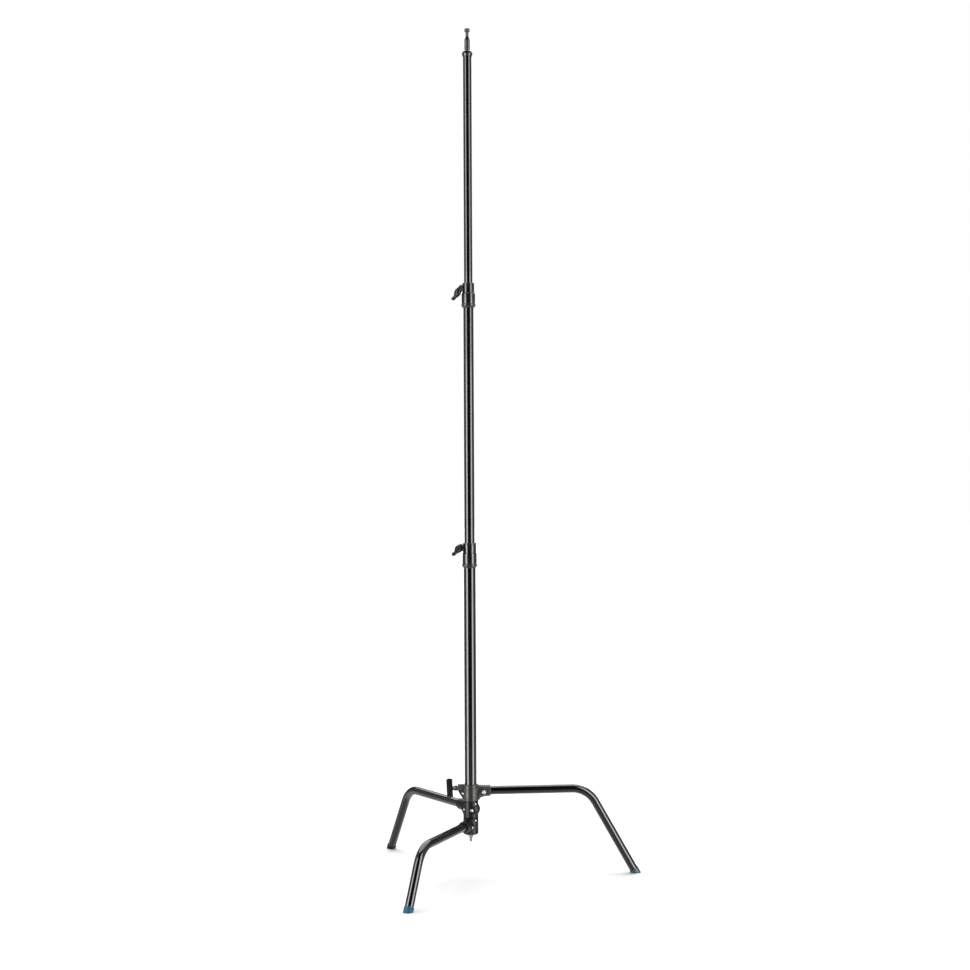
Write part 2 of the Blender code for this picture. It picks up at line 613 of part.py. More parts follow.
def build_sliding_leg(column):
    leg = LEGS["sliding"]
    liner_body = pivot("sliding_liner", column)
    liner_in = COLUMN_RADIUS + GAP
    liner_out = liner_in + LINER_WALL
    low, high = SLIDING_SLEEVE
    liner = lathe([(liner_in, low + 1 * MM), (liner_out, low + 1 * MM), (liner_out, high - 1 * MM),
                   (liner_in, high - 1 * MM)], ROUND, sweep=360.0 - LINER_SPLIT)
    add("sliding_liner", liner, NYLON, liner_body)
    body = pivot("sliding_leg", liner_body, (0, 0, 0), leg["azimuth"])
    boss_outline = [
        (-12 * MM, high), (-LOCK_BOSS_REACH, high), (-LOCK_BOSS_REACH, 257.5 * MM),
        (-34.5 * MM, 250.5 * MM), (-29.5 * MM, 243 * MM), (-24 * MM, 235.5 * MM), (-21 * MM, 229 * MM),
        (-12 * MM, 229 * MM),
    ]
    fan = slab(boss_outline, 11 * MM)
    lay = screw_side(LOCK_HEIGHT)
    pad_face = liner_out + PAD_CLEARANCE
    pocket_end = pad_face + LOCK_PAD_LENGTH + PAD_TRAVEL + GAP
    pocket = moved(rod(LOCK_PAD_RADIUS + GAP, 12 * MM, pocket_end), lay)
    screw_hole = moved(rod(LOCK_SCREW_RADIUS + GAP, pocket_end - 1 * MM, LOCK_BOSS_REACH + 5 * MM), lay)
    rivets = [
        ("sliding_socket_rivet", Vector((37.5 * MM, -17.3 * MM, 254 * MM)), Vector((0, -1, 0)), 5.5 * MM),
        ("sliding_boss_rivet", Vector((-24.5 * MM, -11.3 * MM, 250.3 * MM)), Vector((0, -1, 0)), 3.6 * MM),
    ]
    casting("sliding_casting", "sliding", body, SLIDING_SLEEVE,
            column_bore(liner_out + GAP, low - 5 * MM, high + 5 * MM), rivets,
            extra=[fan], extra_cuts=[pocket, screw_hole])
    leg_tube("sliding_leg_tube", leg, body)
    foot_cap("sliding_foot_cap", leg, body)
    build_t_handle(body, pad_face)


def build_t_handle(sliding_leg, pad_face):
    """Pad, then the screw with its hub and cross bar, opposite the sliding leg."""
    pad_end = pad_face + LOCK_PAD_LENGTH
    pad_body = pivot("sliding_lock_pad", sliding_leg, (0, 0, LOCK_HEIGHT), 180.0)
    add("sliding_lock_pad", moved(rod(LOCK_PAD_RADIUS, pad_face, pad_end, chamfer=0.4 * MM), RADIAL),
        BRASS, pad_body)
    body = pivot("t_handle", pad_body)
    body.rotation_euler = (T_BAR_TURN, 0, 0)
    screw_end = T_BAR_REACH + 1.5 * MM
    screw = rod(LOCK_SCREW_RADIUS, pad_end + GAP, screw_end, chamfer=0.5 * MM)
    add("t_handle_screw", moved(screw, RADIAL), ZINC, body)
    bore = LOCK_SCREW_RADIUS + GAP
    hub_low = LOCK_BOSS_REACH + 1.0 * MM
    hub_high = T_BAR_REACH - T_BAR_RADIUS - GAP
    hub_profile = [
        (bore, hub_low), (6.0 * MM, hub_low), (7.6 * MM, hub_low + 1.8 * MM), (8.2 * MM, hub_low + 5 * MM),
        (7.4 * MM, hub_low + 8.5 * MM), (5.8 * MM, hub_high), (bore, hub_high),
    ]
    add("t_handle_hub", moved(lathe(hub_profile, 24), RADIAL), SATIN_BLACK, body)
    half = T_BAR_LENGTH / 2
    bar = rod(T_BAR_RADIUS, -half, half, 24, chamfer=1.5 * MM)
    hole = moved(rod(bore, T_BAR_REACH - 12 * MM, screw_end + GAP), RADIAL)
    combined("t_handle_bar", moved(bar, Matrix.Translation((T_BAR_REACH, 0, 0))), SATIN_BLACK, body,
             cut=[hole])


def build_middle_leg(column):
    leg = LEGS["middle"]
    body = pivot("middle_leg", column, (0, 0, 0), leg["azimuth"])
    low, high = MIDDLE_SLEEVE
    bush_in = COLUMN_RADIUS + GAP
    bush_out = bush_in + LINER_WALL
    add("middle_bushing", tube(bush_in, bush_out, low + 1 * MM, high - 1 * MM), NYLON, body)
    lug_point, lug_direction = on_sleeve(-15.0, leg["azimuth"], 203 * MM, 0.0)
    lug = lathe([(0, 14 * MM), (20 * MM, 14 * MM), (18.5 * MM, 18 * MM), (13 * MM, 23.5 * MM),
                 (8 * MM, 26.5 * MM), (4 * MM, 27.7 * MM), (0, 27.7 * MM)], closed=False)
    moved(lug, along(lug_point, lug_direction))
    reach = SLEEVE_RADIUS + 0.5 * MM
    rivets = [
        ("middle_casting_rivet", *on_sleeve(-82.0, leg["azimuth"], 201 * MM, reach), 4.4 * MM),
        ("middle_casting_screw", *on_sleeve(-50.0, leg["azimuth"], 220 * MM, reach), 2.2 * MM),
        ("middle_side_rivet", *on_sleeve(-150.0, leg["azimuth"], 203 * MM, reach), 3.4 * MM),
    ]
    casting("middle_casting", "middle", body, MIDDLE_SLEEVE,
            column_bore(bush_out + GAP, low - 5 * MM, high + 5 * MM), rivets,
            extra=[lug])
    leg_tube("middle_leg_tube", leg, body)
    foot_cap("middle_foot_cap", leg, body, BLACK_PLASTIC)


def build_lower_leg(column):
    leg = LEGS["lower"]
    body = pivot("lower_leg", column, (0, 0, 0), leg["azimuth"])
    low, high = LOWER_SLEEVE
    floor_top = COLUMN_BOTTOM - GAP
    reach = SLEEVE_RADIUS + 0.5 * MM
    rivets = [
        ("lower_casting_rivet", *on_sleeve(-52.0, leg["azimuth"], 171.0 * MM, reach), 3.0 * MM),
        ("lower_casting_screw", *on_sleeve(67.3, leg["azimuth"], 152 * MM, reach), 3.6 * MM),
        ("lower_socket_rivet", Vector((30 * MM, 17.8 * MM, 153 * MM)), Vector((0, 1, 0)), 4.4 * MM),
    ]
    rod_hole = rod(ROD_RADIUS + GAP, low - 5 * MM, low + 10 * MM)
    casting("lower_casting", "lower", body, LOWER_SLEEVE,
            column_bore(COLUMN_RADIUS + GAP, floor_top, high + 5 * MM), rivets,
            extra_cuts=[rod_hole], foot_chamfer=3.0 * MM)
    leg_tube("lower_leg_tube", leg, body)
    foot_cap("lower_foot_cap", leg, body)
    build_tie_rod(body, low)


def build_tie_rod(body, casting_low):
    """Headed rod through spring, plug and casting, with a disc under its head and a nut below."""
    disc_top = SPRING_TOP + 3 * MM
    rod_profile = [
        (0, ROD_BOTTOM), (ROD_RADIUS - 0.8 * MM, ROD_BOTTOM), (ROD_RADIUS, ROD_BOTTOM + 0.8 * MM),
        (ROD_RADIUS, disc_top + GAP), (6.5 * MM, disc_top + GAP), (6.5 * MM, disc_top + 4 * MM),
        (0, disc_top + 4 * MM),
    ]
    add("tie_rod", lathe(rod_profile, 20, closed=False), ZINC, body)
    add("spring_retainer", tube(ROD_RADIUS + GAP, 13.5 * MM, SPRING_TOP, disc_top, 24), ZINC, body)
    washer_top = casting_low - GAP
    washer_low = washer_top - 1.6 * MM
    add("base_washer", tube(ROD_RADIUS + GAP, 9.5 * MM, washer_low, washer_top, 24), ZINC, body)
    nut_top = washer_low - GAP
    combined("base_nut", rod(7.6 * MM, nut_top - 7 * MM, nut_top, 6), ZINC, body,
             cut=[rod(ROD_RADIUS + GAP, nut_top - 10 * MM, nut_top + 3 * MM, 20)])


def build():
    centre = footprint_centre()
    root = pivot("stand", None, (-centre[0], -centre[1], 0))
    column = build_column(root)
    riser_1 = build_riser_1(column)
    build_riser_2(riser_1)
    build_sliding_leg(column)
    build_middle_leg(column)
    build_lower_leg(column)


build()
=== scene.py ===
"""Looks of the c-stand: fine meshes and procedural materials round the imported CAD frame.

Metres, +Z up, in the row frame. Places come from the frame's boxes; the rest are named sizes. Each
visible CAD node is replaced by a finer piece that rides on the same body. Inner nodes stay, and only
get their materials.
"""
import json
import math

import bmesh
import bpy
from mathutils import Matrix, Vector


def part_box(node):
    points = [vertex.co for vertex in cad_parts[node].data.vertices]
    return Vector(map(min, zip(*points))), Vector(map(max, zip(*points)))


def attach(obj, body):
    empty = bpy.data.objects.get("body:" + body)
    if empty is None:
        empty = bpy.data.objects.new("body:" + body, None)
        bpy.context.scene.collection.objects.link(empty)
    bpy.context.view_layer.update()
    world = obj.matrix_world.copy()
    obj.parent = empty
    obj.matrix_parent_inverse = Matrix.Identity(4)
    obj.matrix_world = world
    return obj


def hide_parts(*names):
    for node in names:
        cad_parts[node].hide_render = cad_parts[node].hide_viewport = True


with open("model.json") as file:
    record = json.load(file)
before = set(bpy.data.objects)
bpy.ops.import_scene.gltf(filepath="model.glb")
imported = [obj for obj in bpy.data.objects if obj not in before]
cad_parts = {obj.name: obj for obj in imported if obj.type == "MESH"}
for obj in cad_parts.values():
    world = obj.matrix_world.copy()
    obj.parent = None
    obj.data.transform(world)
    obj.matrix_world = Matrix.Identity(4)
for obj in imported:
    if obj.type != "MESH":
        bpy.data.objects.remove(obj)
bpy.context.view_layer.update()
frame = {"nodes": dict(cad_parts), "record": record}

MM = 0.001
GAP = 0.3 * MM                       # clearance that the CAD leaves between neighbours
WALL = 1.5 * MM                      # wall of every tube
SIDES = 96                           # sides of turned pieces
FINE_SIDES = 48                      # sides of rivets and other small turned pieces
CAST_VOXEL = 0.8 * MM
CAST_SMOOTHING = 9


# ------------------------------------------------------------------------------ places in the frame

def low(node):
    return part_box(node)[0].z


def high(node):
    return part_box(node)[1].z


def radius(node):
    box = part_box(node)
    return (box[1].x - box[0].x) / 2


def middle(node):
    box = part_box(node)
    return (box[0] + box[1]) / 2


AXIS = Vector((middle("column_tube").x, middle("column_tube").y, 0))
COLUMN_RADIUS = radius("column_tube")
RISER_1_RADIUS = radius("riser_1_tube")
RISER_2_RADIUS = radius("riser_2_tube")
LEG_RADIUS = 12.5 * MM
LEG_LEAN = math.radians(29.5)        # shank from the vertical
LEG_BEND_RADIUS = 82 * MM
LEG_START = 24 * MM                  # inner end of a leg tube, from the column axis
CAP_HEIGHT = 13 * MM                 # foot cap along the shank, from the middle of the foot
CAP_FLOOR = 5 * MM
CAP_WALL = 1.2 * MM


def leg_of(name):
    """Azimuth, run height and elbow reach of a leg, read from its tube's and its cap's place."""
    cap = frame["nodes"][name + "_foot_cap"].data
    sole = [vertex.co for vertex in cap.vertices if vertex.co.z < 0.01 * MM]
    xs, ys = [point.x for point in sole], [point.y for point in sole]
    foot = Vector(((min(xs) + max(xs)) / 2, (min(ys) + max(ys)) / 2, 0)) - AXIS
    height = high(name + "_leg_tube") - LEG_RADIUS
    return {
        "name": name,
        "height": height,
        "elbow": foot.length - height * math.tan(LEG_LEAN),
        "place": Matrix.Translation(AXIS) @ Matrix.Rotation(math.atan2(foot.y, foot.x), 4, "Z"),
    }


LEGS = {name: leg_of(name) for name in ("sliding", "middle", "lower")}


# ----------------------------------------------------------------------------------------- materials

class Graph:
    """Short-hand for adding and linking the nodes of one node tree."""

    def __init__(self, tree):
        self.tree = tree

    def add(self, kind, **values):
        node = self.tree.nodes.new(kind)
        for key, value in values.items():
            setattr(node, key, value)
        return node

    def link(self, source, target):
        self.tree.links.new(source, target)

    def ramp(self, source, *stops):
        """Colour ramp through (position, colour) stops; a colour may be one grey value."""
        made = self.add("ShaderNodeValToRGB")
        points = made.color_ramp.elements
        while len(points) < len(stops):
            points.new(0.5)
        for point, (position, colour) in zip(points, stops):
            point.position = position
            grey = isinstance(colour, (int, float))
            point.color = (colour, colour, colour, 1) if grey else (*colour, 1)
        self.link(source, made.inputs["Fac"])
        return made.outputs["Color"]

    def math(self, operation, first, second):
        made = self.add("ShaderNodeMath", operation=operation)
        for socket, value in zip(made.inputs, (first, second)):
            if isinstance(value, (int, float)):
                socket.default_value = value
            else:
                self.link(value, socket)
        return made.outputs["Value"]


class Paint(Graph):
    """One procedural material: a principled shader, and patterns in the object's own coordinates."""

    MIX_SHARE = 0                        # a mix node's inputs that serve colours
    MIX_COLOURS = (6, 7)
    MIX_RESULT = 2                       # its colour output

    def __init__(self, name, base, roughness, metallic=0.0, specular=0.5):
        self.material = bpy.data.materials.new(name)
        self.material.use_nodes = True
        super().__init__(self.material.node_tree)
        self.shader = self.tree.nodes["Principled BSDF"]
        self.set("Base Color", (*base, 1))
        self.set("Roughness", roughness)
        self.set("Metallic", metallic)
        self.set("Specular IOR Level", specular)
        self.place = self.add("ShaderNodeTexCoord").outputs["Object"]

    def set(self, socket, value):
        self.shader.inputs[socket].default_value = value

    def noise(self, scale, detail=4.0, roughness=0.55, stretch=(1, 1, 1)):
        """Value of a noise whose grains are about 1 / scale across, in metres."""
        spread = self.add("ShaderNodeMapping")
        spread.inputs["Scale"].default_value = stretch
        self.link(self.place, spread.inputs["Vector"])
        made = self.add("ShaderNodeTexNoise")
        made.inputs["Scale"].default_value = scale
        made.inputs["Detail"].default_value = detail
        made.inputs["Roughness"].default_value = roughness
        self.link(spread.outputs["Vector"], made.inputs["Vector"])
        return made.outputs["Fac"]

    def mix(self, share, first, second):
        """Mix of two colours, each a colour socket or a tuple, by a share."""
        made = self.add("ShaderNodeMix", data_type="RGBA")
        self.link(share, made.inputs[self.MIX_SHARE])
        for index, value in zip(self.MIX_COLOURS, (first, second)):
            if isinstance(value, tuple):
                made.inputs[index].default_value = (*value, 1)
            else:
                self.link(value, made.inputs[index])
        return made.outputs[self.MIX_RESULT]

    def bump(self, *heights):
        """Chain of bumps, each (height socket, strength, distance in metres)."""
        normal = None
        for height, strength, distance in heights:
            made = self.add("ShaderNodeBump")
            made.inputs["Strength"].default_value = strength
            made.inputs["Distance"].default_value = distance
            self.link(height, made.inputs["Height"])
            if normal is not None:
                self.link(normal, made.inputs["Normal"])
            normal = made.outputs["Normal"]
        self.link(normal, self.shader.inputs["Normal"])

    def colour(self, socket):
        self.link(socket, self.shader.inputs["Base Color"])

    def rough(self, socket):
        self.link(socket, self.shader.inputs["Roughness"])


def gloss_paint():
    """Hard black enamel: almost mirror-like, with a little orange peel, dust haze and fine scratches."""
    made = Paint("gloss_black_paint", (0.001, 0.001, 0.001), 0.1, specular=0.5)
    haze = made.noise(9, detail=5)
    scratches = made.noise(700, detail=2, stretch=(1, 1, 0.02))
    dust = made.noise(1500, detail=1)
    made.colour(made.mix(
        made.ramp(dust, (0.68, 0.0), (0.76, 0.2)),
        made.ramp(haze, (0.3, (0.0007, 0.0006, 0.0005)), (0.75, (0.0018, 0.0015, 0.0013))),
        (0.02, 0.019, 0.018),
    ))
    streaks = made.ramp(scratches, (0.35, 0.0), (0.75, 0.05))
    made.rough(made.math("ADD", made.ramp(haze, (0.3, 0.07), (0.75, 0.12)), streaks))
    made.bump((made.noise(200, detail=2), 0.04, 0.06 * MM))
    return made.material


def casting_paint(name, base, low_rough, high_rough, specular=0.5, edge_wear_and_highlight=0.8):
    """Powder-coated die casting: fine pebbled skin, and a lighter grey on its sharp edges that is partly
    wear to bare metal and partly a painted highlight.
    """
    made = Paint(name, base, 0.4, specular=specular)
    mottle = made.noise(60, detail=6)
    skin = made.noise(1500, detail=3, roughness=0.6)
    lumps = made.noise(260, detail=3)
    edge = made.add("ShaderNodeNewGeometry").outputs["Pointiness"]
    # Painted highlight and wear: sharp edges, found by pointiness, turn a lighter grey that stands for both
    # bare metal and the light catching those edges.
    worn_and_highlit_edges = made.math("MULTIPLY", made.ramp(edge, (0.53, 0.0), (0.6, 1.0)),
                     made.ramp(made.noise(340, detail=4), (0.48, 0.0), (0.66, edge_wear_and_highlight)))
    dark = tuple(channel * 0.6 for channel in base)
    light = tuple(channel * 1.9 for channel in base)
    made.colour(made.mix(worn_and_highlit_edges, made.ramp(mottle, (0.3, dark), (0.7, light)), (0.16, 0.155, 0.15)))
    made.rough(made.ramp(mottle, (0.25, low_rough), (0.75, high_rough)))
    made.bump((lumps, 0.16, 0.25 * MM), (skin, 0.28, 0.09 * MM))
    return made.material


def plastic(name, base, worn_colour, roughness, specular=0.5):
    """Moulded plastic: faint mould texture, scuffed lighter where it rubs."""
    made = Paint(name, base, roughness, specular=specular)
    cloud = made.noise(110, detail=5)
    scuff = made.noise(420, detail=5, stretch=(1, 1, 0.25))
    dark = tuple(channel * 0.72 for channel in base)
    light = tuple(min(1.0, channel * 1.18) for channel in base)
    made.colour(made.mix(made.ramp(scuff, (0.6, 0.0), (0.74, 0.45)),
                         made.ramp(cloud, (0.3, dark), (0.7, light)), worn_colour))
    made.rough(made.ramp(cloud, (0.3, roughness - 0.08), (0.7, roughness + 0.12)))
    made.bump((made.noise(1300, detail=2), 0.15, 0.05 * MM))
    return made.material


def metal(name, base, roughness, mottle_scale, tarnish, turned=True):
    """Plated or bare metal, with fine turning marks and patches of a duller tone."""
    made = Paint(name, base, roughness, metallic=1.0)
    patches = made.noise(mottle_scale, detail=6)
    marks = made.noise(900, detail=3, stretch=(0.04, 0.04, 1) if turned else (1, 1, 1))
    made.colour(made.ramp(patches, (0.35, tarnish), (0.6, base)))
    made.rough(made.math("ADD", made.ramp(patches, (0.3, roughness + 0.1), (0.7, roughness)),
                         made.ramp(marks, (0.4, 0.0), (0.8, 0.08))))
    made.bump((marks, 0.08, 0.03 * MM))
    return made.material


MATERIALS = {
    "gloss_black_paint": gloss_paint(),
    "satin_black_casting": casting_paint("satin_black_casting", (0.006, 0.0048, 0.0042), 0.34, 0.48, 0.48),
    "black_plastic": plastic("black_plastic", (0.003, 0.003, 0.0033), (0.008, 0.008, 0.008), 0.42, 0.16),
    "blue_plastic": plastic("blue_plastic", (0.004, 0.048, 0.088), (0.015, 0.08, 0.13), 0.45, 0.2),
    "chrome": metal("chrome", (0.055, 0.055, 0.056), 0.12, 70, (0.035, 0.035, 0.036)),
    "zinc_steel": metal("zinc_steel", (0.5, 0.5, 0.505), 0.4, 240, (0.3, 0.3, 0.305)),
    "brass": metal("brass", (0.72, 0.53, 0.24), 0.3, 200, (0.5, 0.36, 0.17)),
    "nylon": plastic("nylon", (0.62, 0.61, 0.57), (0.72, 0.71, 0.68), 0.5),
}
DARK_CASTING = casting_paint("dark_casting", (0.0026, 0.0021, 0.0018), 0.3, 0.44, 0.2)
GRIP_BLACK = casting_paint("black_grip", (0.001, 0.001, 0.001), 0.34, 0.46, 0.08, 0.04)
DULL_BLUE = plastic("dull_blue_plastic", (0.009, 0.03, 0.042), (0.05, 0.09, 0.11), 0.45)
DARK_STEEL = metal("dark_thread_steel", (0.33, 0.33, 0.34), 0.34, 300, (0.14, 0.14, 0.145), turned=False)
COLLAR_PAINT = casting_paint("semi_gloss_collar", (0.0022, 0.002, 0.0019), 0.12, 0.2)


# -------------------------------------------------------------------------------------- mesh helpers

def skin(rows, loop=False, capped=True):
    """Skin a list of rings; the ends are capped, or joined to each other in a loop."""
    shape = bmesh.new()
    made = [[shape.verts.new(point) for point in row] for row in rows]
    count = len(made[0])
    joins = list(zip(made, made[1:]))
    if loop:
        joins.append((made[-1], made[0]))
    elif capped:
        shape.faces.new(list(reversed(made[0])))
        shape.faces.new(made[-1])
    for first, second in joins:
        for step in range(count):
            following = (step + 1) % count
            shape.faces.new((first[step], first[following], second[following], second[step]))
    return shape


def circle(reach, height, sides):
    turns = [2 * math.pi * step / sides for step in range(sides)]
    return [Vector((reach * math.cos(turn), reach * math.sin(turn), height)) for turn in turns]


def rounded(outline, closed, steps=4):
    """Outline of (r, z) or (r, z, fillet) points, with each fillet drawn as a short curve."""
    points = []
    count = len(outline)
    for index, corner in enumerate(outline):
        here = Vector(corner[:2])
        fillet = corner[2] if len(corner) > 2 else 0.0
        if not fillet or (not closed and index in (0, count - 1)):
            points.append(here)
            continue
        before = Vector(outline[index - 1][:2]) - here
        after = Vector(outline[(index + 1) % count][:2]) - here
        start = here + before.normalized() * min(fillet, before.length * 0.49)
        end = here + after.normalized() * min(fillet, after.length * 0.49)
        for step in range(steps + 1):
            share = step / steps
            points.append(start * (1 - share) ** 2 + here * 2 * share * (1 - share) + end * share ** 2)
    return points


def lathe(outline, sides=SIDES, closed=True, steps=4):
    """Turn an outline of (r, z[, fillet]) points round Z. An open one starts and ends on the axis."""
    profile = rounded(outline, closed, steps)
    return skin([circle(point.x, point.y, sides) for point in profile], loop=closed, capped=False)


def ring(centre, across, up, half_across, half_up, sides, power=2.0):
    """Points of an ellipse, or of a squarer one where power is above 2."""
    points = []
    for step in range(sides):
        turn = 2 * math.pi * step / sides
        sideways = math.copysign(abs(math.cos(turn)) ** (2 / power), math.cos(turn))
        upwards = math.copysign(abs(math.sin(turn)) ** (2 / power), math.sin(turn))
        points.append(centre + across * half_across * sideways + up * half_up * upwards)
    return points


def smooth_stations(stations, steps):
    """Catmull-Rom curve through tuples of numbers."""
    padded = [stations[0], *stations, stations[-1]]
    made = []
    for a, b, c, d in zip(padded, padded[1:], padded[2:], padded[3:]):
        for step in range(steps):
            t = step / steps
            made.append(tuple(
                0.5 * (2 * q + (r - p) * t + (2 * p - 5 * q + 4 * r - s) * t * t
                       + (3 * q - p - 3 * r + s) * t ** 3)
                for p, q, r, s in zip(a, b, c, d)
            ))
    return [*made, tuple(stations[-1])]


def moved(shape, matrix):
    bmesh.ops.transform(shape, matrix=matrix, verts=shape.verts)
    return shape


def along(point, direction):
    """Matrix that lays a shape's +Z along a direction, with its origin at a point."""
    turn = Vector(direction).normalized().to_track_quat("Z", "Y").to_matrix().to_4x4()
    return Matrix.Translation(point) @ turn


RADIAL = along((0, 0, 0), (1, 0, 0))           # lays a turned shape along +X


def screw_side(height):
    """Matrix that lays a turned shape along -X at a height, where the screws are."""
    return Matrix.Translation((0, 0, height)) @ Matrix.Rotation(math.pi, 4, "Z") @ RADIAL


def raw(name, shape):
    """Object from a bmesh, cleaned of doubled points, with its faces outwards."""
    bmesh.ops.remove_doubles(shape, verts=shape.verts, dist=0.001 * MM)
    bmesh.ops.dissolve_degenerate(shape, edges=shape.edges, dist=0.001 * MM)
    bmesh.ops.recalc_face_normals(shape, faces=shape.faces)
    mesh = bpy.data.meshes.new(name)
    shape.to_mesh(mesh)
    shape.free()
    made = bpy.data.objects.new(name, mesh)
    bpy.context.scene.collection.objects.link(made)
    return made


def settle(made):
    """Apply an object's modifiers to its mesh."""
    bpy.context.view_layer.update()
    mesh = bpy.data.meshes.new_from_object(made.evaluated_get(bpy.context.evaluated_depsgraph_get()))
    made.modifiers.clear()
    made.data = mesh


def boolean(made, operation, shapes):
    helpers = [raw(made.name + "_helper", shape) for shape in shapes]
    for helper in helpers:
        step = made.modifiers.new("boolean", "BOOLEAN")
        step.operation = operation
        step.object = helper
        step.solver = "MANIFOLD"
    settle(made)
    for helper in helpers:
        bpy.data.objects.remove(helper, do_unlink=True)


def piece(made, body, material, node=None, sharp=32.0):
    """Finish a piece: smooth shading with real edges, its material, its body and what it stands for."""
    if isinstance(made, tuple):
        made = raw(*made)
    made.data.shade_smooth()
    made.data.set_sharp_from_angle(angle=math.radians(sharp))
    made.data.materials.clear()
    made.data.materials.append(material)
    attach(made, body)
    if node:
        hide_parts(node)
    return made


def plain(name, shape, body, slot, node=None, material=None):
    """A piece in one of the record's finishes, named after the node that it stands for."""
    return piece((name, shape), body, material or MATERIALS[slot], node)


# --------------------------------------------------------------------------------------------- tubes

def tube_profile(inner, outer, bottom, top):
    lip = 0.35 * MM
    return [(inner, bottom, lip), (outer, bottom, lip), (outer, top, lip), (inner, top, lip)]


def upright(name, body):
    """Straight tube of the column or of a riser."""
    outer = radius(name)
    shape = lathe(tube_profile(outer - WALL, outer, low(name), high(name)))
    plain(name + "_skin", moved(shape, Matrix.Translation(AXIS)), body, "gloss_black_paint", name)


def shank_ring(leg, reach, sides, height=None, distance=None):
    """Section of a leg's straight shank: level at a height, or square at a distance from the foot."""
    down = Vector((math.sin(LEG_LEAN), 0, -math.cos(LEG_LEAN)))
    normal = Vector((math.cos(LEG_LEAN), 0, math.sin(LEG_LEAN)))
    foot = Vector((leg["elbow"] + leg["height"] * math.tan(LEG_LEAN), 0, 0))
    if distance is not None:
        return ring(foot - down * distance, Vector((0, 1, 0)), normal, reach, reach, sides)
    points = ring(foot, Vector((0, 1, 0)), normal, reach, reach, sides)
    return [point + down * (height - point.z) / down.z for point in points]


def leg_rows(leg, reach, foot_height):
    """Sections of a bent leg, from its socket to the foot."""
    bend = math.pi / 2 - LEG_LEAN
    run_end = leg["elbow"] - LEG_BEND_RADIUS * math.tan(bend / 2)
    steps = 28
    stations = [(Vector((LEG_START, 0, leg["height"])), 0.0)]
    for step in range(steps + 1):
        angle = bend * step / steps
        x = run_end + LEG_BEND_RADIUS * math.sin(angle)
        z = leg["height"] - LEG_BEND_RADIUS * (1 - math.cos(angle))
        stations.append((Vector((x, 0, z)), angle))
    rows = []
    for point, angle in stations:
        normal = Vector((math.sin(angle), 0, math.cos(angle)))
        rows.append(ring(point, Vector((0, 1, 0)), normal, reach, reach, FINE_SIDES))
    return [*rows, shank_ring(leg, reach, FINE_SIDES, height=foot_height)]


def leg_tube(leg):
    name = leg["name"] + "_leg_tube"
    outside = leg_rows(leg, LEG_RADIUS, CAP_FLOOR + GAP)
    inside = leg_rows(leg, LEG_RADIUS - WALL, CAP_FLOOR + GAP)
    shape = moved(skin(outside + inside[::-1], loop=True), leg["place"])
    plain(name + "_skin", shape, leg["name"] + "_leg", "gloss_black_paint", name)


def foot_cap(leg, slot, material=None):
    """Moulded cap: a rolled lip round its mouth, one shallow groove, and a sole cut level."""
    name = leg["name"] + "_foot_cap"
    inner = LEG_RADIUS + GAP
    outer = inner + CAP_WALL
    soft = 0.5 * MM

    def square(reach, distance):
        return shank_ring(leg, reach, FINE_SIDES, distance=distance)

    def level(reach, height):
        return shank_ring(leg, reach, FINE_SIDES, height=height)

    rows = [
        level(inner - soft, CAP_FLOOR), level(inner, CAP_FLOOR + soft),
        square(inner, CAP_HEIGHT - soft), square(inner + 0.4 * soft, CAP_HEIGHT),
        square(outer, CAP_HEIGHT), square(outer + soft, CAP_HEIGHT - soft),
        square(outer + soft, CAP_HEIGHT - 2.2 * MM), square(outer, CAP_HEIGHT - 2.7 * MM),
        level(outer, 2.2 * soft), level(outer - 0.4 * soft, 0.5 * soft), level(outer - 1.4 * soft, 0.0),
    ]
    shape = moved(skin(rows), leg["place"])
    plain(name + "_moulded", shape, leg["name"] + "_leg", slot, name, material)


# ------------------------------------------------------------------------------------------ castings

SLEEVE_RADIUS = 22.5 * MM
SOCKET_RADIUS = 16.5 * MM
SOCKET_END = 59 * MM
SOCKET_ROOT_UP = 17.2 * MM           # socket's top above the leg's axis, next to the sleeve
LINER_WALL = 1.2 * MM
LOCK_HEIGHT = middle("sliding_lock_pad").z
LOCK_BOSS_REACH = 38 * MM            # face of the T-handle's boss, from the column axis
LOCK_SCREW_RADIUS = 4 * MM
LOCK_PAD_RADIUS = 5 * MM
LOCK_PAD_LENGTH = 5 * MM
PAD_CLEARANCE = 0.35 * MM            # pad's face from the tube or liner it presses on
PAD_TRAVEL = 1.5 * MM                # thread pitch: one turn of a lever
ROD_RADIUS = 4 * MM                  # tie rod under the lower casting
RIVET_DEPTH = 2.2 * MM               # hole for a casting rivet's shank


def socket(leg, root_up, root_down):
    """Boss from the column to a socket's mouth, with a gusset that curves down at its root."""
    mouth = SOCKET_RADIUS
    wide = 16.8 * MM
    stations = [
        (4 * MM, wide, root_up, root_down), (23 * MM, wide, root_up, root_down),
        (28 * MM, wide, root_up, mouth + 6 * MM), (34 * MM, wide, mouth + 0.4 * MM, mouth + 3 * MM),
        (44 * MM, mouth, mouth, mouth + 1 * MM), (SOCKET_END - 1.5 * MM, mouth, mouth, mouth),
    ]
    stations = smooth_stations(stations, 5)
    stations.append((SOCKET_END, mouth - 1.2 * MM, mouth - 1.2 * MM, mouth - 1.2 * MM))
    rows = []
    for reach, half_across, up, down in stations:
        centre = Vector((reach, 0, leg["height"] + (up - down) / 2))
        rows.append(ring(centre, Vector((0, 1, 0)), Vector((0, 0, 1)), half_across, (up + down) / 2, 64))
    return skin(rows)


def sleeve(bottom, top, foot_round):
    outline = [(0, bottom), (SLEEVE_RADIUS, bottom, foot_round), (SLEEVE_RADIUS, top, 1.4 * MM), (0, top)]
    return lathe(outline, closed=False)


def bore(reach, bottom, top):
    outline = [(0, bottom), (reach, bottom), (reach, top), (0, top)]
    return lathe(outline, closed=False)


def laid(shape, leg):
    """Lay a turned shape along a leg's run, in the leg's own frame."""
    return moved(shape, Matrix.Translation((0, 0, leg["height"])) @ RADIAL)


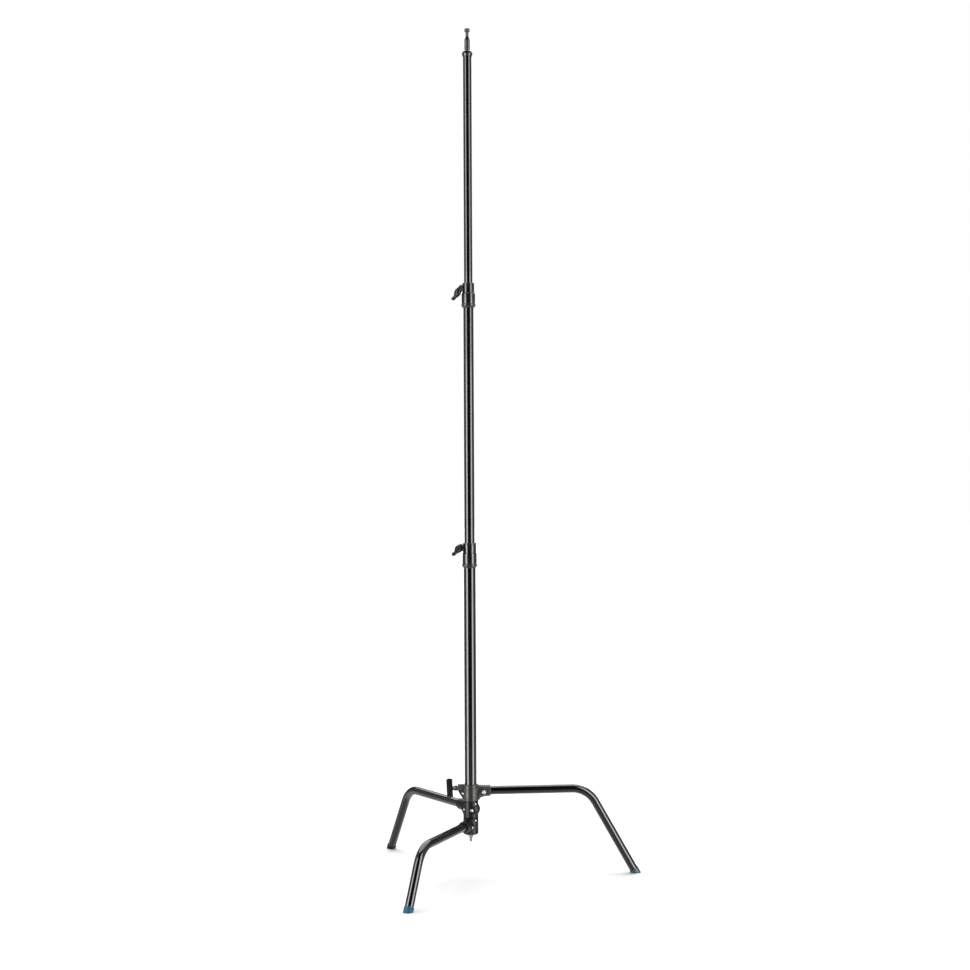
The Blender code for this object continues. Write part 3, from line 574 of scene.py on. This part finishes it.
def on_sleeve(leg, azimuth, height):
    """Point on a sleeve, and its outward direction, in the leg's frame, for an azimuth in the row's."""
    direction = leg["place"].to_3x3().inverted() @ Vector(
        (math.cos(math.radians(azimuth)), math.sin(math.radians(azimuth)), 0))
    return direction * (SLEEVE_RADIUS + 0.5 * MM) + Vector((0, 0, height)), direction


def sleeve_rivet(leg, name, azimuth, reach):
    """Name, point, direction and head radius of a rivet on a sleeve, at its CAD node's height."""
    return name, *on_sleeve(leg, azimuth, middle(name).z), reach


def side_rivet(name, out, across, reach):
    """The same for a rivet on the side of a leg's run, at a distance out from the column axis."""
    return name, Vector((out, across, middle(name).z)), Vector((0, math.copysign(1, across), 0)), reach


RIVET_HEAD = 0.55                    # head height as a share of its radius
RIVET_SHANK = 0.5                    # shank radius as a share of the head's


def rivet(name, leg, point, direction, reach):
    """Domed rivet with a small flat where its setting tool pressed, on a thin flange."""
    tall = reach * RIVET_HEAD
    shank = reach * RIVET_SHANK
    shank_end = -2.0 * MM
    arc_steps = 7
    dome = [(0, shank_end), (shank, shank_end), (shank, GAP), (reach, GAP, 0.1 * reach),
            (reach, GAP + tall * 0.3, 0.12 * reach)]
    for step in range(1, arc_steps):
        turn = math.pi / 2 * step / arc_steps
        dome.append((reach * 0.97 * math.cos(turn), GAP + tall * (0.3 + 0.7 * math.sin(turn))))
    dome.append((0, GAP + tall))
    shape = moved(lathe(dome, FINE_SIDES, closed=False), along(point, direction))
    plain(name + "_domed", moved(shape, leg["place"]), leg["name"] + "_leg", "zinc_steel", name)


def rivet_seat(point, direction, reach):
    """Round raised pad for a rivet head to sit on."""
    wide = reach + 1.0 * MM
    depth = 5 * MM
    pad = [(0, -depth), (wide + 0.6 * MM, -depth), (wide, 0, 0.3 * MM), (0, 0)]
    return moved(lathe(pad, FINE_SIDES, closed=False), along(point, direction))


def casting(leg, span, tube_bore, rivets, paint, extra=(), cuts=(), foot_round=1.4 * MM):
    """Cast body with fillets where its shapes meet, and its bores and rivet seats cut crisp."""
    node = leg["name"] + "_casting"
    bottom, top = span
    made = raw(node + "_cast", sleeve(bottom, top, foot_round))
    root = (min(SOCKET_ROOT_UP, top - 0.4 * MM - leg["height"]), leg["height"] - bottom - 0.4 * MM)
    seats = [rivet_seat(*place) for _, *place in rivets]
    boolean(made, "UNION", [socket(leg, *root), *extra, *seats])
    remesh = made.modifiers.new("remesh", "REMESH")
    remesh.mode = "VOXEL"
    remesh.voxel_size = CAST_VOXEL
    soften = made.modifiers.new("soften", "SMOOTH")
    soften.factor = 0.5
    soften.iterations = CAST_SMOOTHING
    thin = made.modifiers.new("thin", "DECIMATE")
    thin.ratio = 0.35
    settle(made)
    holes = []
    for _, point, direction, reach in rivets:
        holes.append(moved(bore(reach * RIVET_SHANK + GAP, -RIVET_DEPTH, 4 * MM), along(point, direction)))
        holes.append(moved(bore(reach + 0.25 * MM, 0.05 * MM, 6 * MM), along(point, direction)))
    mouth = laid(lathe([
        (0, LEG_START - GAP), (LEG_RADIUS + GAP, LEG_START - GAP),
        (LEG_RADIUS + GAP, SOCKET_END - 1.2 * MM), (LEG_RADIUS + 4 * MM, SOCKET_END + 2.2 * MM),
        (0, SOCKET_END + 2.2 * MM),
    ], closed=False), leg)
    boolean(made, "DIFFERENCE", [tube_bore, mouth, *holes, *cuts])
    made.data.transform(leg["place"])
    piece(made, leg["name"] + "_leg", paint, node)
    for name, point, direction, reach in rivets:
        rivet(name, leg, point, direction, reach)


def slab(outline, half_width):
    """Solid from an outline of (x, z) points, extruded both ways along Y."""
    return skin([[Vector((x, side * half_width, z)) for x, z in outline] for side in (-1, 1)])


FAN_HALF_WIDTH = 11 * MM             # web between the sleeve and the T-handle's boss


def fan_groove(height):
    """Shallow groove along the side of the web, at a height."""
    start, end, half = -23.5 * MM, -36 * MM, 0.7 * MM
    outline = [(start, height - half), (end, height - half), (end, height + half), (start, height + half)]
    return slab(outline, 0.9 * MM)


def sliding_casting():
    leg = LEGS["sliding"]
    bottom, top = low("sliding_casting"), high("sliding_casting")
    liner_out = COLUMN_RADIUS + GAP + LINER_WALL
    fan = slab([
        (-12 * MM, top), (-LOCK_BOSS_REACH, top), (-LOCK_BOSS_REACH, top - 18.5 * MM),
        (-34.5 * MM, top - 25.5 * MM), (-29.5 * MM, top - 33 * MM), (-24 * MM, top - 40.5 * MM),
        (-21 * MM, top - 47 * MM), (-12 * MM, top - 47 * MM),
    ], FAN_HALF_WIDTH)
    back = screw_side(LOCK_HEIGHT)
    pocket_end = liner_out + PAD_CLEARANCE + LOCK_PAD_LENGTH + PAD_TRAVEL + GAP
    cuts = [
        moved(bore(LOCK_PAD_RADIUS + GAP, 12 * MM, pocket_end), back),
        moved(bore(LOCK_SCREW_RADIUS + GAP, pocket_end - 1 * MM, LOCK_BOSS_REACH + 5 * MM), back),
    ]
    for drop in (17 * MM, 11 * MM, 5 * MM):
        for side in (-1, 1):
            cuts.append(moved(fan_groove(top - drop), Matrix.Translation((0, side * FAN_HALF_WIDTH, 0))))
    rivets = [
        side_rivet("sliding_socket_rivet", 37.5 * MM, -17.3 * MM, 5.5 * MM),
        side_rivet("sliding_boss_rivet", -24.5 * MM, -11.3 * MM, 3.6 * MM),
    ]
    hole = bore(liner_out + GAP, bottom - 5 * MM, top + 5 * MM)
    casting(leg, (bottom, top), hole, rivets, MATERIALS["satin_black_casting"], [fan], cuts)


def middle_casting():
    leg = LEGS["middle"]
    bottom, top = low("middle_casting"), high("middle_casting")
    lug_height = middle("middle_side_rivet").z
    _, lug_direction = on_sleeve(leg, -15.0, lug_height)
    lug = lathe([(0, 14 * MM), (20 * MM, 14 * MM), (18.5 * MM, 18 * MM), (13 * MM, 23.5 * MM),
                 (8 * MM, 26.5 * MM), (4 * MM, 27.7 * MM), (0, 27.7 * MM)], FINE_SIDES, closed=False)
    moved(lug, along(Vector((0, 0, lug_height)), lug_direction))
    rivets = [
        sleeve_rivet(leg, "middle_casting_rivet", -82.0, 4.4 * MM),
        sleeve_rivet(leg, "middle_casting_screw", -50.0, 2.2 * MM),
        sleeve_rivet(leg, "middle_side_rivet", -150.0, 3.4 * MM),
    ]
    hole = bore(COLUMN_RADIUS + 2 * GAP + LINER_WALL, bottom - 5 * MM, top + 5 * MM)
    casting(leg, (bottom, top), hole, rivets, DARK_CASTING, [lug])


def lower_casting():
    leg = LEGS["lower"]
    bottom, top = low("lower_casting"), high("lower_casting")
    rivets = [
        sleeve_rivet(leg, "lower_casting_rivet", -52.0, 3.0 * MM),
        sleeve_rivet(leg, "lower_casting_screw", 67.3, 3.6 * MM),
        side_rivet("lower_socket_rivet", 30 * MM, 17.8 * MM, 4.4 * MM),
    ]
    hole = bore(COLUMN_RADIUS + GAP, low("column_tube") - GAP, top + 5 * MM)
    rod_hole = bore(ROD_RADIUS + GAP, bottom - 5 * MM, bottom + 10 * MM)
    casting(leg, (bottom, top), hole, rivets, DARK_CASTING, cuts=[rod_hole], foot_round=4.5 * MM)


# ---------------------------------------------------------------------------------- clamps and levers

CLAMP_BOSS = 2.0 * MM                # screw's boss, proud of the collar's upper body
CLAMP_BOSS_RADIUS = 10.6 * MM
CLAMP_SCREW_RADIUS = 3 * MM
PAD_RADIUS = 4.5 * MM
PAD_LENGTH = 3.6 * MM
BUSH_WALL = 1.6 * MM
SEAT_DROP = 37 * MM                  # shoulder that the tube's end meets, below the collar's top
COLLAR_PIN_DROP = 48 * MM            # collar's rivet below its top
COLLAR_PIN_RADIUS = 3.2 * MM
CLAMPS = {
    1: {"body": "column", "riser": RISER_1_RADIUS, "tube": COLUMN_RADIUS, "turn": math.radians(55),
        "upper": 19.5 * MM, "lower": 21.0 * MM, "rim": 23.0 * MM},
    2: {"body": "riser_1", "riser": RISER_2_RADIUS, "tube": RISER_1_RADIUS, "turn": math.radians(-8),
        "upper": 17.5 * MM, "lower": 20.0 * MM, "rim": 21.5 * MM},
}


def collar(number):
    """Glossy cast collar: beaded top edge, a step, a parting groove, and a flared bottom rim."""
    clamp = CLAMPS[number]
    node = f"clamp_{number}_collar"
    top = high(node)
    riser, upper, lower, rim = clamp["riser"], clamp["upper"], clamp["lower"], clamp["rim"]
    tube_hole = clamp["tube"] + GAP
    bush = riser + 2 * GAP + BUSH_WALL
    seat = top - SEAT_DROP + GAP

    def down(reach, drop, fillet=0.5):
        return reach, top - drop * MM, fillet * MM

    outline = [
        down(tube_hole, 74, 0.2), down(tube_hole + 1.2 * MM, 74), down(rim - 1.2 * MM, 69.2, 1.0),
        down(rim, 67.4, 0.8), down(rim, 64.6, 0.8), down(rim - 1.2 * MM, 63.4, 0.4),
        down(lower - 0.7 * MM, 63.0, 0.3), down(lower - 0.7 * MM, 62.4, 0.3), down(lower, 61.6, 0.4),
        down(lower, 32.0, 1.4), down(upper, 29.4, 1.4), down(upper, 5.2, 0.4),
        down(upper - 0.5 * MM, 4.8, 0.2), down(upper - 0.5 * MM, 4.2, 0.2),
        down(upper + 0.5 * MM, 3.6, 0.5), down(upper + 0.5 * MM, 1.2, 0.8),
        down(upper - 0.8 * MM, 0, 0.5), down(riser + GAP, 0, 0.2), down(riser + GAP, 1.5, 0.1),
        down(bush, 1.5, 0), (bush, seat, 0), (tube_hole, seat, 0),
    ]
    made = raw(node + "_cast", lathe(outline))
    left = screw_side(middle(f"clamp_{number}_pad").z)
    boss = lathe([(0, riser + 3 * MM), (CLAMP_BOSS_RADIUS + 0.6 * MM, riser + 3 * MM),
                  (CLAMP_BOSS_RADIUS, upper + CLAMP_BOSS, 0.6 * MM), (0, upper + CLAMP_BOSS)], closed=False)
    boolean(made, "UNION", [moved(boss, left)])
    pocket_end = riser + PAD_CLEARANCE + PAD_LENGTH + PAD_TRAVEL + GAP
    pin = along((0, lower + 2 * MM, top - COLLAR_PIN_DROP), (0, -1, 0))
    boolean(made, "DIFFERENCE", [
        moved(bore(PAD_RADIUS + GAP, riser - 2 * MM, pocket_end), left),
        moved(bore(CLAMP_SCREW_RADIUS + GAP, pocket_end - 1 * MM, upper + 8 * MM), left),
        moved(bore(COLLAR_PIN_RADIUS * RIVET_SHANK + GAP, 0, 12 * MM), pin),
    ])
    made.data.transform(Matrix.Translation(AXIS))
    piece(made, clamp["body"], COLLAR_PAINT, node)
    back_rivet(number, top - COLLAR_PIN_DROP)


def back_rivet(number, height):
    """Rivet that pins a collar to its tube, at the back."""
    name = f"clamp_{number}_rivet"
    clamp = CLAMPS[number]
    reach = COLLAR_PIN_RADIUS
    shank = reach * RIVET_SHANK
    shank_end = -(clamp["lower"] - clamp["tube"] + WALL)
    tall = reach * RIVET_HEAD
    dome = [(0, shank_end), (shank, shank_end), (shank, GAP), (reach, GAP, 0.1 * reach),
            (reach, GAP + tall * 0.3, 0.1 * reach), (reach * 0.7, GAP + tall * 0.85), (0, GAP + tall)]
    place = along(AXIS + Vector((0, clamp["lower"] - GAP, height)), (0, 1, 0))
    shape = moved(lathe(dome, FINE_SIDES, closed=False, steps=5), place)
    plain(name + "_domed", shape, clamp["body"], "zinc_steel", name)


LEVER_STATIONS = [                   # out, sideways and up from the hub's face; tilt; half sizes, in mm
    (0.0, 0.0, 0.0, 0, 10.4, 10.6), (3.0, 2.4, -1.6, 10, 10.8, 11.4), (7.0, 4.6, -7.6, 18, 11.4, 11.6),
    (12.5, 5.4, -13.6, 31, 11.4, 10.6), (16.5, 4.2, -19.4, 41, 9.2, 8.6),
    (18.8, 2.8, -24.4, 45, 6.2, 6.4), (22.0, 1.2, -28.6, 52, 5.4, 5.2),
    (25.2, 0.3, -31.6, 66, 6.2, 5.6), (26.6, 0.0, -34.6, 71, 4.4, 4.2),
]
LEVER_SIDES = 40
LEVER_SQUARENESS = 2.25              # 2 is an ellipse
TIP_LENGTH = 2.0                     # rounded end of the lever, in mm
TIP_LEAN = math.radians(20)          # its direction, from straight down
TIP_STEPS = ((0.35, 0.93), (0.7, 0.72), (0.9, 0.42))    # shares of its length and of the section
HUB_FACE_SHARE = 0.93                # hub's flat face, as a share of its first section


def lever_section(centre, tilt, half_plane, half_thick):
    """Section of the lever, from its centre and half sizes in mm."""
    turn = math.radians(tilt)
    normal = Vector((math.sin(turn), 0, math.cos(turn)))
    return ring(centre * MM, Vector((0, 1, 0)), normal, half_thick * MM, half_plane * MM,
                LEVER_SIDES, LEVER_SQUARENESS)


def lever(number):
    """Swept lever: a broad hub on the screw that curves out and down to a flared, rounded tip."""
    clamp = CLAMPS[number]
    node = f"clamp_{number}_lever"
    hub_face = clamp["upper"] + CLAMP_BOSS + GAP
    stations = smooth_stations(LEVER_STATIONS, 6)
    rows = [lever_section(Vector(station[:3]), *station[3:]) for station in stations]
    *end, tilt, half_plane, half_thick = stations[-1]
    tip = Vector((math.sin(TIP_LEAN), 0, -math.cos(TIP_LEAN))) * TIP_LENGTH
    for share, shrink in TIP_STEPS:
        centre = Vector(end) + tip * share
        rows.append(lever_section(centre, tilt, half_plane * shrink, half_thick * shrink))
    face = [Vector((0, point.y, point.z)) * HUB_FACE_SHARE for point in rows[0]]
    rim = [Vector((0.6 * MM, point.y, point.z)) for point in rows[0]]
    rows[:1] = [face, rim]
    made = raw(node + "_cast", skin(rows))
    hole = bore(CLAMP_SCREW_RADIUS + GAP, -2 * MM, 5 * MM)
    boolean(made, "DIFFERENCE", [moved(hole, RADIAL)])
    place = (Matrix.Translation(AXIS + Vector((0, 0, middle(f"clamp_{number}_pad").z)))
             @ Matrix.Rotation(math.pi, 4, "Z") @ Matrix.Rotation(clamp["turn"], 4, "X")
             @ Matrix.Translation((hub_face, 0, 0)))
    made.data.transform(place)
    piece(made, node, DARK_CASTING, node, sharp=45)


# ------------------------------------------------------------------------------------------ T-handle

T_BAR_REACH = 63 * MM                # T-bar's axis, from the column axis
T_BAR_RADIUS = 9.0 * MM
T_BAR_LENGTH = 57 * MM
T_BAR_TURN = math.radians(35)        # T-bar from the vertical


def t_handle():
    leg = LEGS["sliding"]
    place = (leg["place"] @ Matrix.Translation((0, 0, LOCK_HEIGHT)) @ Matrix.Rotation(math.pi, 4, "Z")
             @ Matrix.Rotation(T_BAR_TURN, 4, "X"))
    start = LOCK_BOSS_REACH + 1 * MM
    end = T_BAR_REACH - T_BAR_RADIUS - GAP
    hole = LOCK_SCREW_RADIUS + GAP
    hub = [
        (hole, start, 0), (6.0 * MM, start, 0.5 * MM), (7.6 * MM, start + 1.8 * MM, 1.2 * MM),
        (8.2 * MM, start + 4.6 * MM, 2 * MM), (7.6 * MM, start + 8.0 * MM, 1.6 * MM),
        (6.1 * MM, start + 10.6 * MM, 0.8 * MM), (5.5 * MM, start + 12 * MM, 0.4 * MM),
        (6.1 * MM, end - 1.6 * MM, 0.4 * MM), (6.1 * MM, end, 0.4 * MM), (hole, end, 0),
    ]
    shape = moved(moved(lathe(hub, FINE_SIDES), RADIAL), place)
    plain("t_handle_hub_cast", shape, "t_handle", "satin_black_casting", "t_handle_hub")
    half = T_BAR_LENGTH / 2
    made = raw("t_handle_bar_cast", ribbed_bar(T_BAR_RADIUS, half))
    made.data.transform(Matrix.Translation((T_BAR_REACH, 0, 0)))
    boolean(made, "DIFFERENCE", [moved(bore(hole, T_BAR_REACH - 12 * MM, T_BAR_REACH + 1.8 * MM), RADIAL)])
    made.data.transform(place)
    piece(made, "t_handle", GRIP_BLACK, "t_handle_bar", 50)


def ribbed_bar(reach, half):
    """Grip bar with shallow diamond ribs between two plain, chamfered ends."""
    ribs = 18
    depth = 0.35 * MM
    sides = 144
    steps = 72
    plain_end = 4.5 * MM
    end_shares = (0.55, 0.8, 0.92, 1.0)
    end_depths = [(share - end_shares[0]) * share * 2.6 * MM for share in end_shares]
    rows = [circle(reach * share, -half + inset, sides) for share, inset in zip(end_shares, end_depths)]
    for step in range(steps + 1):
        height = -half + plain_end + (2 * half - 2 * plain_end) * step / steps
        fade = min(1.0, min(step, steps - step) / 2)
        row = []
        for side in range(sides):
            turn = 2 * math.pi * side / sides
            climb = height / (reach * 1.2)
            rib = min(abs(math.sin(ribs / 2 * (turn + climb))), abs(math.sin(ribs / 2 * (turn - climb))))
            here = reach - depth * fade * max(0.0, 1 - rib * 2.4)
            row.append(Vector((here * math.cos(turn), here * math.sin(turn), height)))
        rows.append(row)
    for share, inset in zip(reversed(end_shares), reversed(end_depths)):
        rows.append(circle(reach * share, half - inset, sides))
    return skin(rows)


# ----------------------------------------------------------------------------------- stud and tie rod

STUD_RADIUS = 8 * MM
STUD_NECK_RADIUS = 4.6 * MM
THREAD_PITCH = 1.25 * MM
THREAD_DEPTH = 0.6 * MM
WASHER_RADIUS = 9.5 * MM
NUT_RADIUS = 7.6 * MM                # corners of the hexagon


def stud():
    """Chrome stud with its necked head, and the double cone that closes the riser's end."""
    tube_top = high("riser_2_tube")
    bottom, top = low("top_collar"), high("top_collar")
    wide = radius("top_collar")
    reach = STUD_RADIUS
    seat = tube_top + GAP
    shoulder = bottom + 6.5 * MM
    outline = [
        (RISER_2_RADIUS + GAP, bottom, 0), (RISER_2_RADIUS + 1.2 * MM, bottom, 0.4 * MM),
        (wide - 0.4 * MM, shoulder - 0.6 * MM, 1.0 * MM), (wide, shoulder + 0.8 * MM, 0.8 * MM),
        (wide - 0.3 * MM, shoulder + 2.4 * MM, 1.0 * MM), (wide - 3.5 * MM, top - 3 * MM, 1.6 * MM),
        (reach + 1.2 * MM, top, 0.6 * MM), (reach + GAP, top, 0.1 * MM), (reach + GAP, seat, 0),
        (RISER_2_RADIUS + GAP, seat, 0),
    ]
    shape = moved(lathe(outline), Matrix.Translation(AXIS))
    plain("top_collar_cast", shape, "riser_2", "satin_black_casting", "top_collar", COLLAR_PAINT)
    head = high("top_stud")
    neck_low, neck_high, neck = head - 26 * MM, head - 9 * MM, STUD_NECK_RADIUS
    inside = RISER_2_RADIUS - WALL - GAP
    outline = [
        (0, low("top_stud")), (inside, low("top_stud"), 0.5 * MM), (inside, tube_top - GAP, 0),
        (reach, tube_top - GAP, 0), (reach, neck_low - 6 * MM, 1.6 * MM), (neck, neck_low, 1.8 * MM),
        (neck, neck_high - 1 * MM, 0.5 * MM), (reach - 0.6 * MM, neck_high, 0.4 * MM),
        (reach, neck_high + 1.2 * MM, 0.5 * MM), (reach, head - 1.2 * MM, 0.7 * MM),
        (reach - 1.4 * MM, head, 0.5 * MM), (0, head),
    ]
    shape = moved(lathe(outline, closed=False), Matrix.Translation(AXIS))
    plain("top_stud_turned", shape, "riser_2", "chrome", "top_stud")


def threaded(reach, bottom, top):
    """Rows of a helical thread, faded out at the lower end as a lead-in."""
    pitch, depth = THREAD_PITCH, THREAD_DEPTH
    rows = []
    rows_per_turn = 6
    steps = round((top - bottom) / pitch * rows_per_turn)
    for step in range(steps + 1):
        height = bottom + (top - bottom) * step / steps
        lead = min(1.0, (height - bottom) / (1.5 * pitch))
        row = []
        for side in range(FINE_SIDES):
            turn = 2 * math.pi * side / FINE_SIDES
            phase = (height / pitch - side / FINE_SIDES) % 1.0
            here = (reach - 0.5 * depth * (1 - lead)) - depth * lead * abs(2 * phase - 1)
            row.append(Vector((here * math.cos(turn), here * math.sin(turn), height)))
        rows.append(row)
    return rows


def tie_rod():
    """Threaded rod end, with its hexagon nut and washer, under the lower casting."""
    bottom, top = low("tie_rod"), high("tie_rod")
    reach = ROD_RADIUS
    thread_top = low("lower_casting") + 6 * MM
    rows = [circle(reach * 0.62, bottom, FINE_SIDES), *threaded(reach, bottom + 0.5 * MM, thread_top)]
    for share, height in ((1.0, thread_top + 0.3 * MM), (1.0, top - 4 * MM), (1.6, top - 4 * MM),
                          (1.62, top - 0.4 * MM), (1.5, top)):
        rows.append(circle(reach * share, height, FINE_SIDES))
    shape = moved(skin(rows), Matrix.Translation(AXIS))
    plain("tie_rod_threaded", shape, "lower_leg", "zinc_steel", "tie_rod", DARK_STEEL)
    base_washer()
    base_nut()


def base_washer():
    hole = ROD_RADIUS + GAP
    bottom, top = low("base_washer"), high("base_washer")
    washer = [(hole, bottom, 0.15 * MM), (WASHER_RADIUS, bottom, 0.3 * MM),
              (WASHER_RADIUS, top, 0.3 * MM), (hole, top, 0.15 * MM)]
    shape = moved(lathe(washer), Matrix.Translation(AXIS))
    plain("base_washer_turned", shape, "lower_leg", "zinc_steel", "base_washer")


def base_nut():
    """Hexagon nut with its corners turned down at both faces."""
    bottom, top = low("base_nut"), high("base_nut")
    made = raw("base_nut_forged", skin([circle(NUT_RADIUS, bottom, 6), circle(NUT_RADIUS, top, 6)]))
    wide = NUT_RADIUS + 0.1 * MM
    crown = [(0, bottom), (6.4 * MM, bottom, 0.2 * MM), (wide, bottom + 1 * MM, 0.3 * MM),
             (wide, top - 0.9 * MM, 0.3 * MM), (6.5 * MM, top, 0.2 * MM), (0, top)]
    boolean(made, "INTERSECT", [lathe(crown, closed=False)])
    boolean(made, "DIFFERENCE", [bore(ROD_RADIUS + GAP, bottom - 2 * MM, top + 2 * MM)])
    made.data.transform(Matrix.Translation(AXIS))
    piece(made, "lower_leg", MATERIALS["zinc_steel"], "base_nut")


# ----------------------------------------------------------------------------------- studio and camera

CAMERA_DISTANCE = 5.0
CAMERA_SIDE = 0.047
CAMERA_HEIGHT = 1.17
CAMERA_LENS = 62.2
CAMERA_ROLL = math.radians(0.28)
CAMERA_PITCH = math.radians(-0.017)
BOX_AZIMUTH = 55                     # side boxes, from the camera's side, in degrees
BOX_REACH = 2.6
BOX_WIDTH = 1.45
LEFT_RADIANCE = 12.0
RIGHT_RADIANCE = 11.0
HIGH_SHARE = 0.72                    # radiance of the upper boxes as a share of the lower ones'
SUN_STRENGTH = 3.66
SUN_ANGLE = math.radians(70)
SUN_TILT = math.radians(-30)         # towards the back of the stand
FLOOR_HALF_WIDTH = 40.0


def camera():
    made = bpy.data.objects.new("camera", bpy.data.cameras.new("camera"))
    bpy.context.scene.collection.objects.link(made)
    made.data.lens = CAMERA_LENS
    made.data.sensor_width = 36
    made.location = AXIS + Vector((CAMERA_SIDE, -CAMERA_DISTANCE, CAMERA_HEIGHT))
    made.rotation_euler = (math.pi / 2 + CAMERA_PITCH, CAMERA_ROLL, 0)
    bpy.context.scene.camera = made


def soft_box(name, azimuth, height, tall, radiance, unlit):
    """Upright soft box that faces the column, and lights all but the objects of one collection."""
    light = bpy.data.lights.new(name, "AREA")
    light.shape = "RECTANGLE"
    light.size = BOX_WIDTH
    light.size_y = tall
    light.energy = radiance * math.pi * BOX_WIDTH * tall
    made = bpy.data.objects.new(name, light)
    bpy.context.scene.collection.objects.link(made)
    turn = math.radians(azimuth)
    made.location = AXIS + Vector((math.sin(turn) * BOX_REACH, -math.cos(turn) * BOX_REACH, height))
    facing = AXIS + Vector((0, 0, height)) - made.location
    made.rotation_euler = facing.to_track_quat("-Z", "Y").to_euler()
    made.visible_camera = False
    made.light_linking.receiver_collection = unlit


def surroundings():
    """White for the camera; for the rest a dark room in front, a pale sweep behind, pale below."""
    world = bpy.data.worlds.new("studio")
    bpy.context.scene.world = world
    world.use_nodes = True
    tree = world.node_tree
    graph = Graph(tree)
    direction = graph.add("ShaderNodeSeparateXYZ")
    graph.link(graph.add("ShaderNodeTexCoord").outputs["Generated"], direction.inputs["Vector"])
    upwards = graph.math("MULTIPLY", graph.math("ADD", direction.outputs["Z"], 1.0), 0.5)
    backwards = graph.math("MULTIPLY", graph.math("ADD", direction.outputs["Y"], 1.0), 0.5)
    below = graph.ramp(upwards, (0.1, 1.0), (0.34, 0.8), (0.43, 0.02), (1.0, 0.0))
    behind = graph.ramp(backwards, (0.4, 0.0), (0.52, 0.9), (0.7, 0.5), (0.85, 0.12))
    room = tree.nodes["Background"]
    graph.link(graph.math("ADD", below, graph.math("ADD", behind, 0.01)), room.inputs["Color"])
    backdrop = graph.add("ShaderNodeBackground")
    backdrop.inputs["Color"].default_value = (1, 1, 1, 1)
    mixed = graph.add("ShaderNodeMixShader")
    graph.link(graph.add("ShaderNodeLightPath").outputs["Is Camera Ray"], mixed.inputs["Fac"])
    graph.link(room.outputs["Background"], mixed.inputs[1])
    graph.link(backdrop.outputs["Background"], mixed.inputs[2])
    graph.link(mixed.outputs["Shader"], tree.nodes["World Output"].inputs["Surface"])


def studio(paper):
    """Pale floor, white surround, two tall soft boxes at the sides and a broad soft light from above."""
    bpy.context.scene.view_settings.view_transform = "Standard"
    unlit = bpy.data.collections.new("not_lit_by_side_boxes")
    unlit.objects.link(paper)
    unlit.collection_objects[0].light_linking.link_state = "EXCLUDE"
    for azimuth, radiance in ((-BOX_AZIMUTH, LEFT_RADIANCE), (BOX_AZIMUTH, RIGHT_RADIANCE)):
        soft_box("side_box_low", azimuth, 0.5, 2.8, radiance, unlit)
        soft_box("side_box_high", azimuth, 2.75, 1.7, radiance * HIGH_SHARE, unlit)
    sky = bpy.data.objects.new("top_light", bpy.data.lights.new("top_light", "SUN"))
    sky.data.energy = SUN_STRENGTH
    sky.data.angle = SUN_ANGLE
    sky.rotation_euler = (SUN_TILT, 0, 0)
    bpy.context.scene.collection.objects.link(sky)
    surroundings()


def floor():
    paper = Paint("floor_paper", (0.93, 0.93, 0.93), 0.8, specular=0.1)
    paper.colour(paper.ramp(paper.noise(3, detail=3), (0.3, 0.92), (0.7, 0.95)))
    shape = bmesh.new()
    wide = FLOOR_HALF_WIDTH
    corners = [shape.verts.new((x * wide, y * wide, 0)) for x, y in ((-1, -1), (1, -1), (1, 1), (-1, 1))]
    shape.faces.new(corners)
    made = raw("floor", shape)
    made.data.materials.append(paper.material)
    made.visible_glossy = False
    return made


# ------------------------------------------------------------------------------------------- assembly

def restyle_inner_nodes():
    """The nodes inside the stand keep their CAD meshes, and get the material of their record slot."""
    slots = {part["node"]: part["material_slot"] for part in frame["record"]["subparts"]}
    for name, made in frame["nodes"].items():
        made.data.materials.clear()
        made.data.materials.append(MATERIALS[slots[name]])


def build():
    restyle_inner_nodes()
    upright("column_tube", "column")
    upright("riser_1_tube", "riser_1")
    upright("riser_2_tube", "riser_2")
    stud()
    for number in CLAMPS:
        collar(number)
        lever(number)
    sliding_casting()
    middle_casting()
    lower_casting()
    t_handle()
    tie_rod()
    for leg in LEGS.values():
        leg_tube(leg)
    foot_cap(LEGS["sliding"], "blue_plastic", DULL_BLUE)
    # The middle leg's cap is drawn black, unlike the two blue caps, to match the dark look of that foot;
    # the real caps are probably all blue.
    foot_cap(LEGS["middle"], "black_plastic")
    foot_cap(LEGS["lower"], "blue_plastic")
    studio(floor())
    camera()


build()
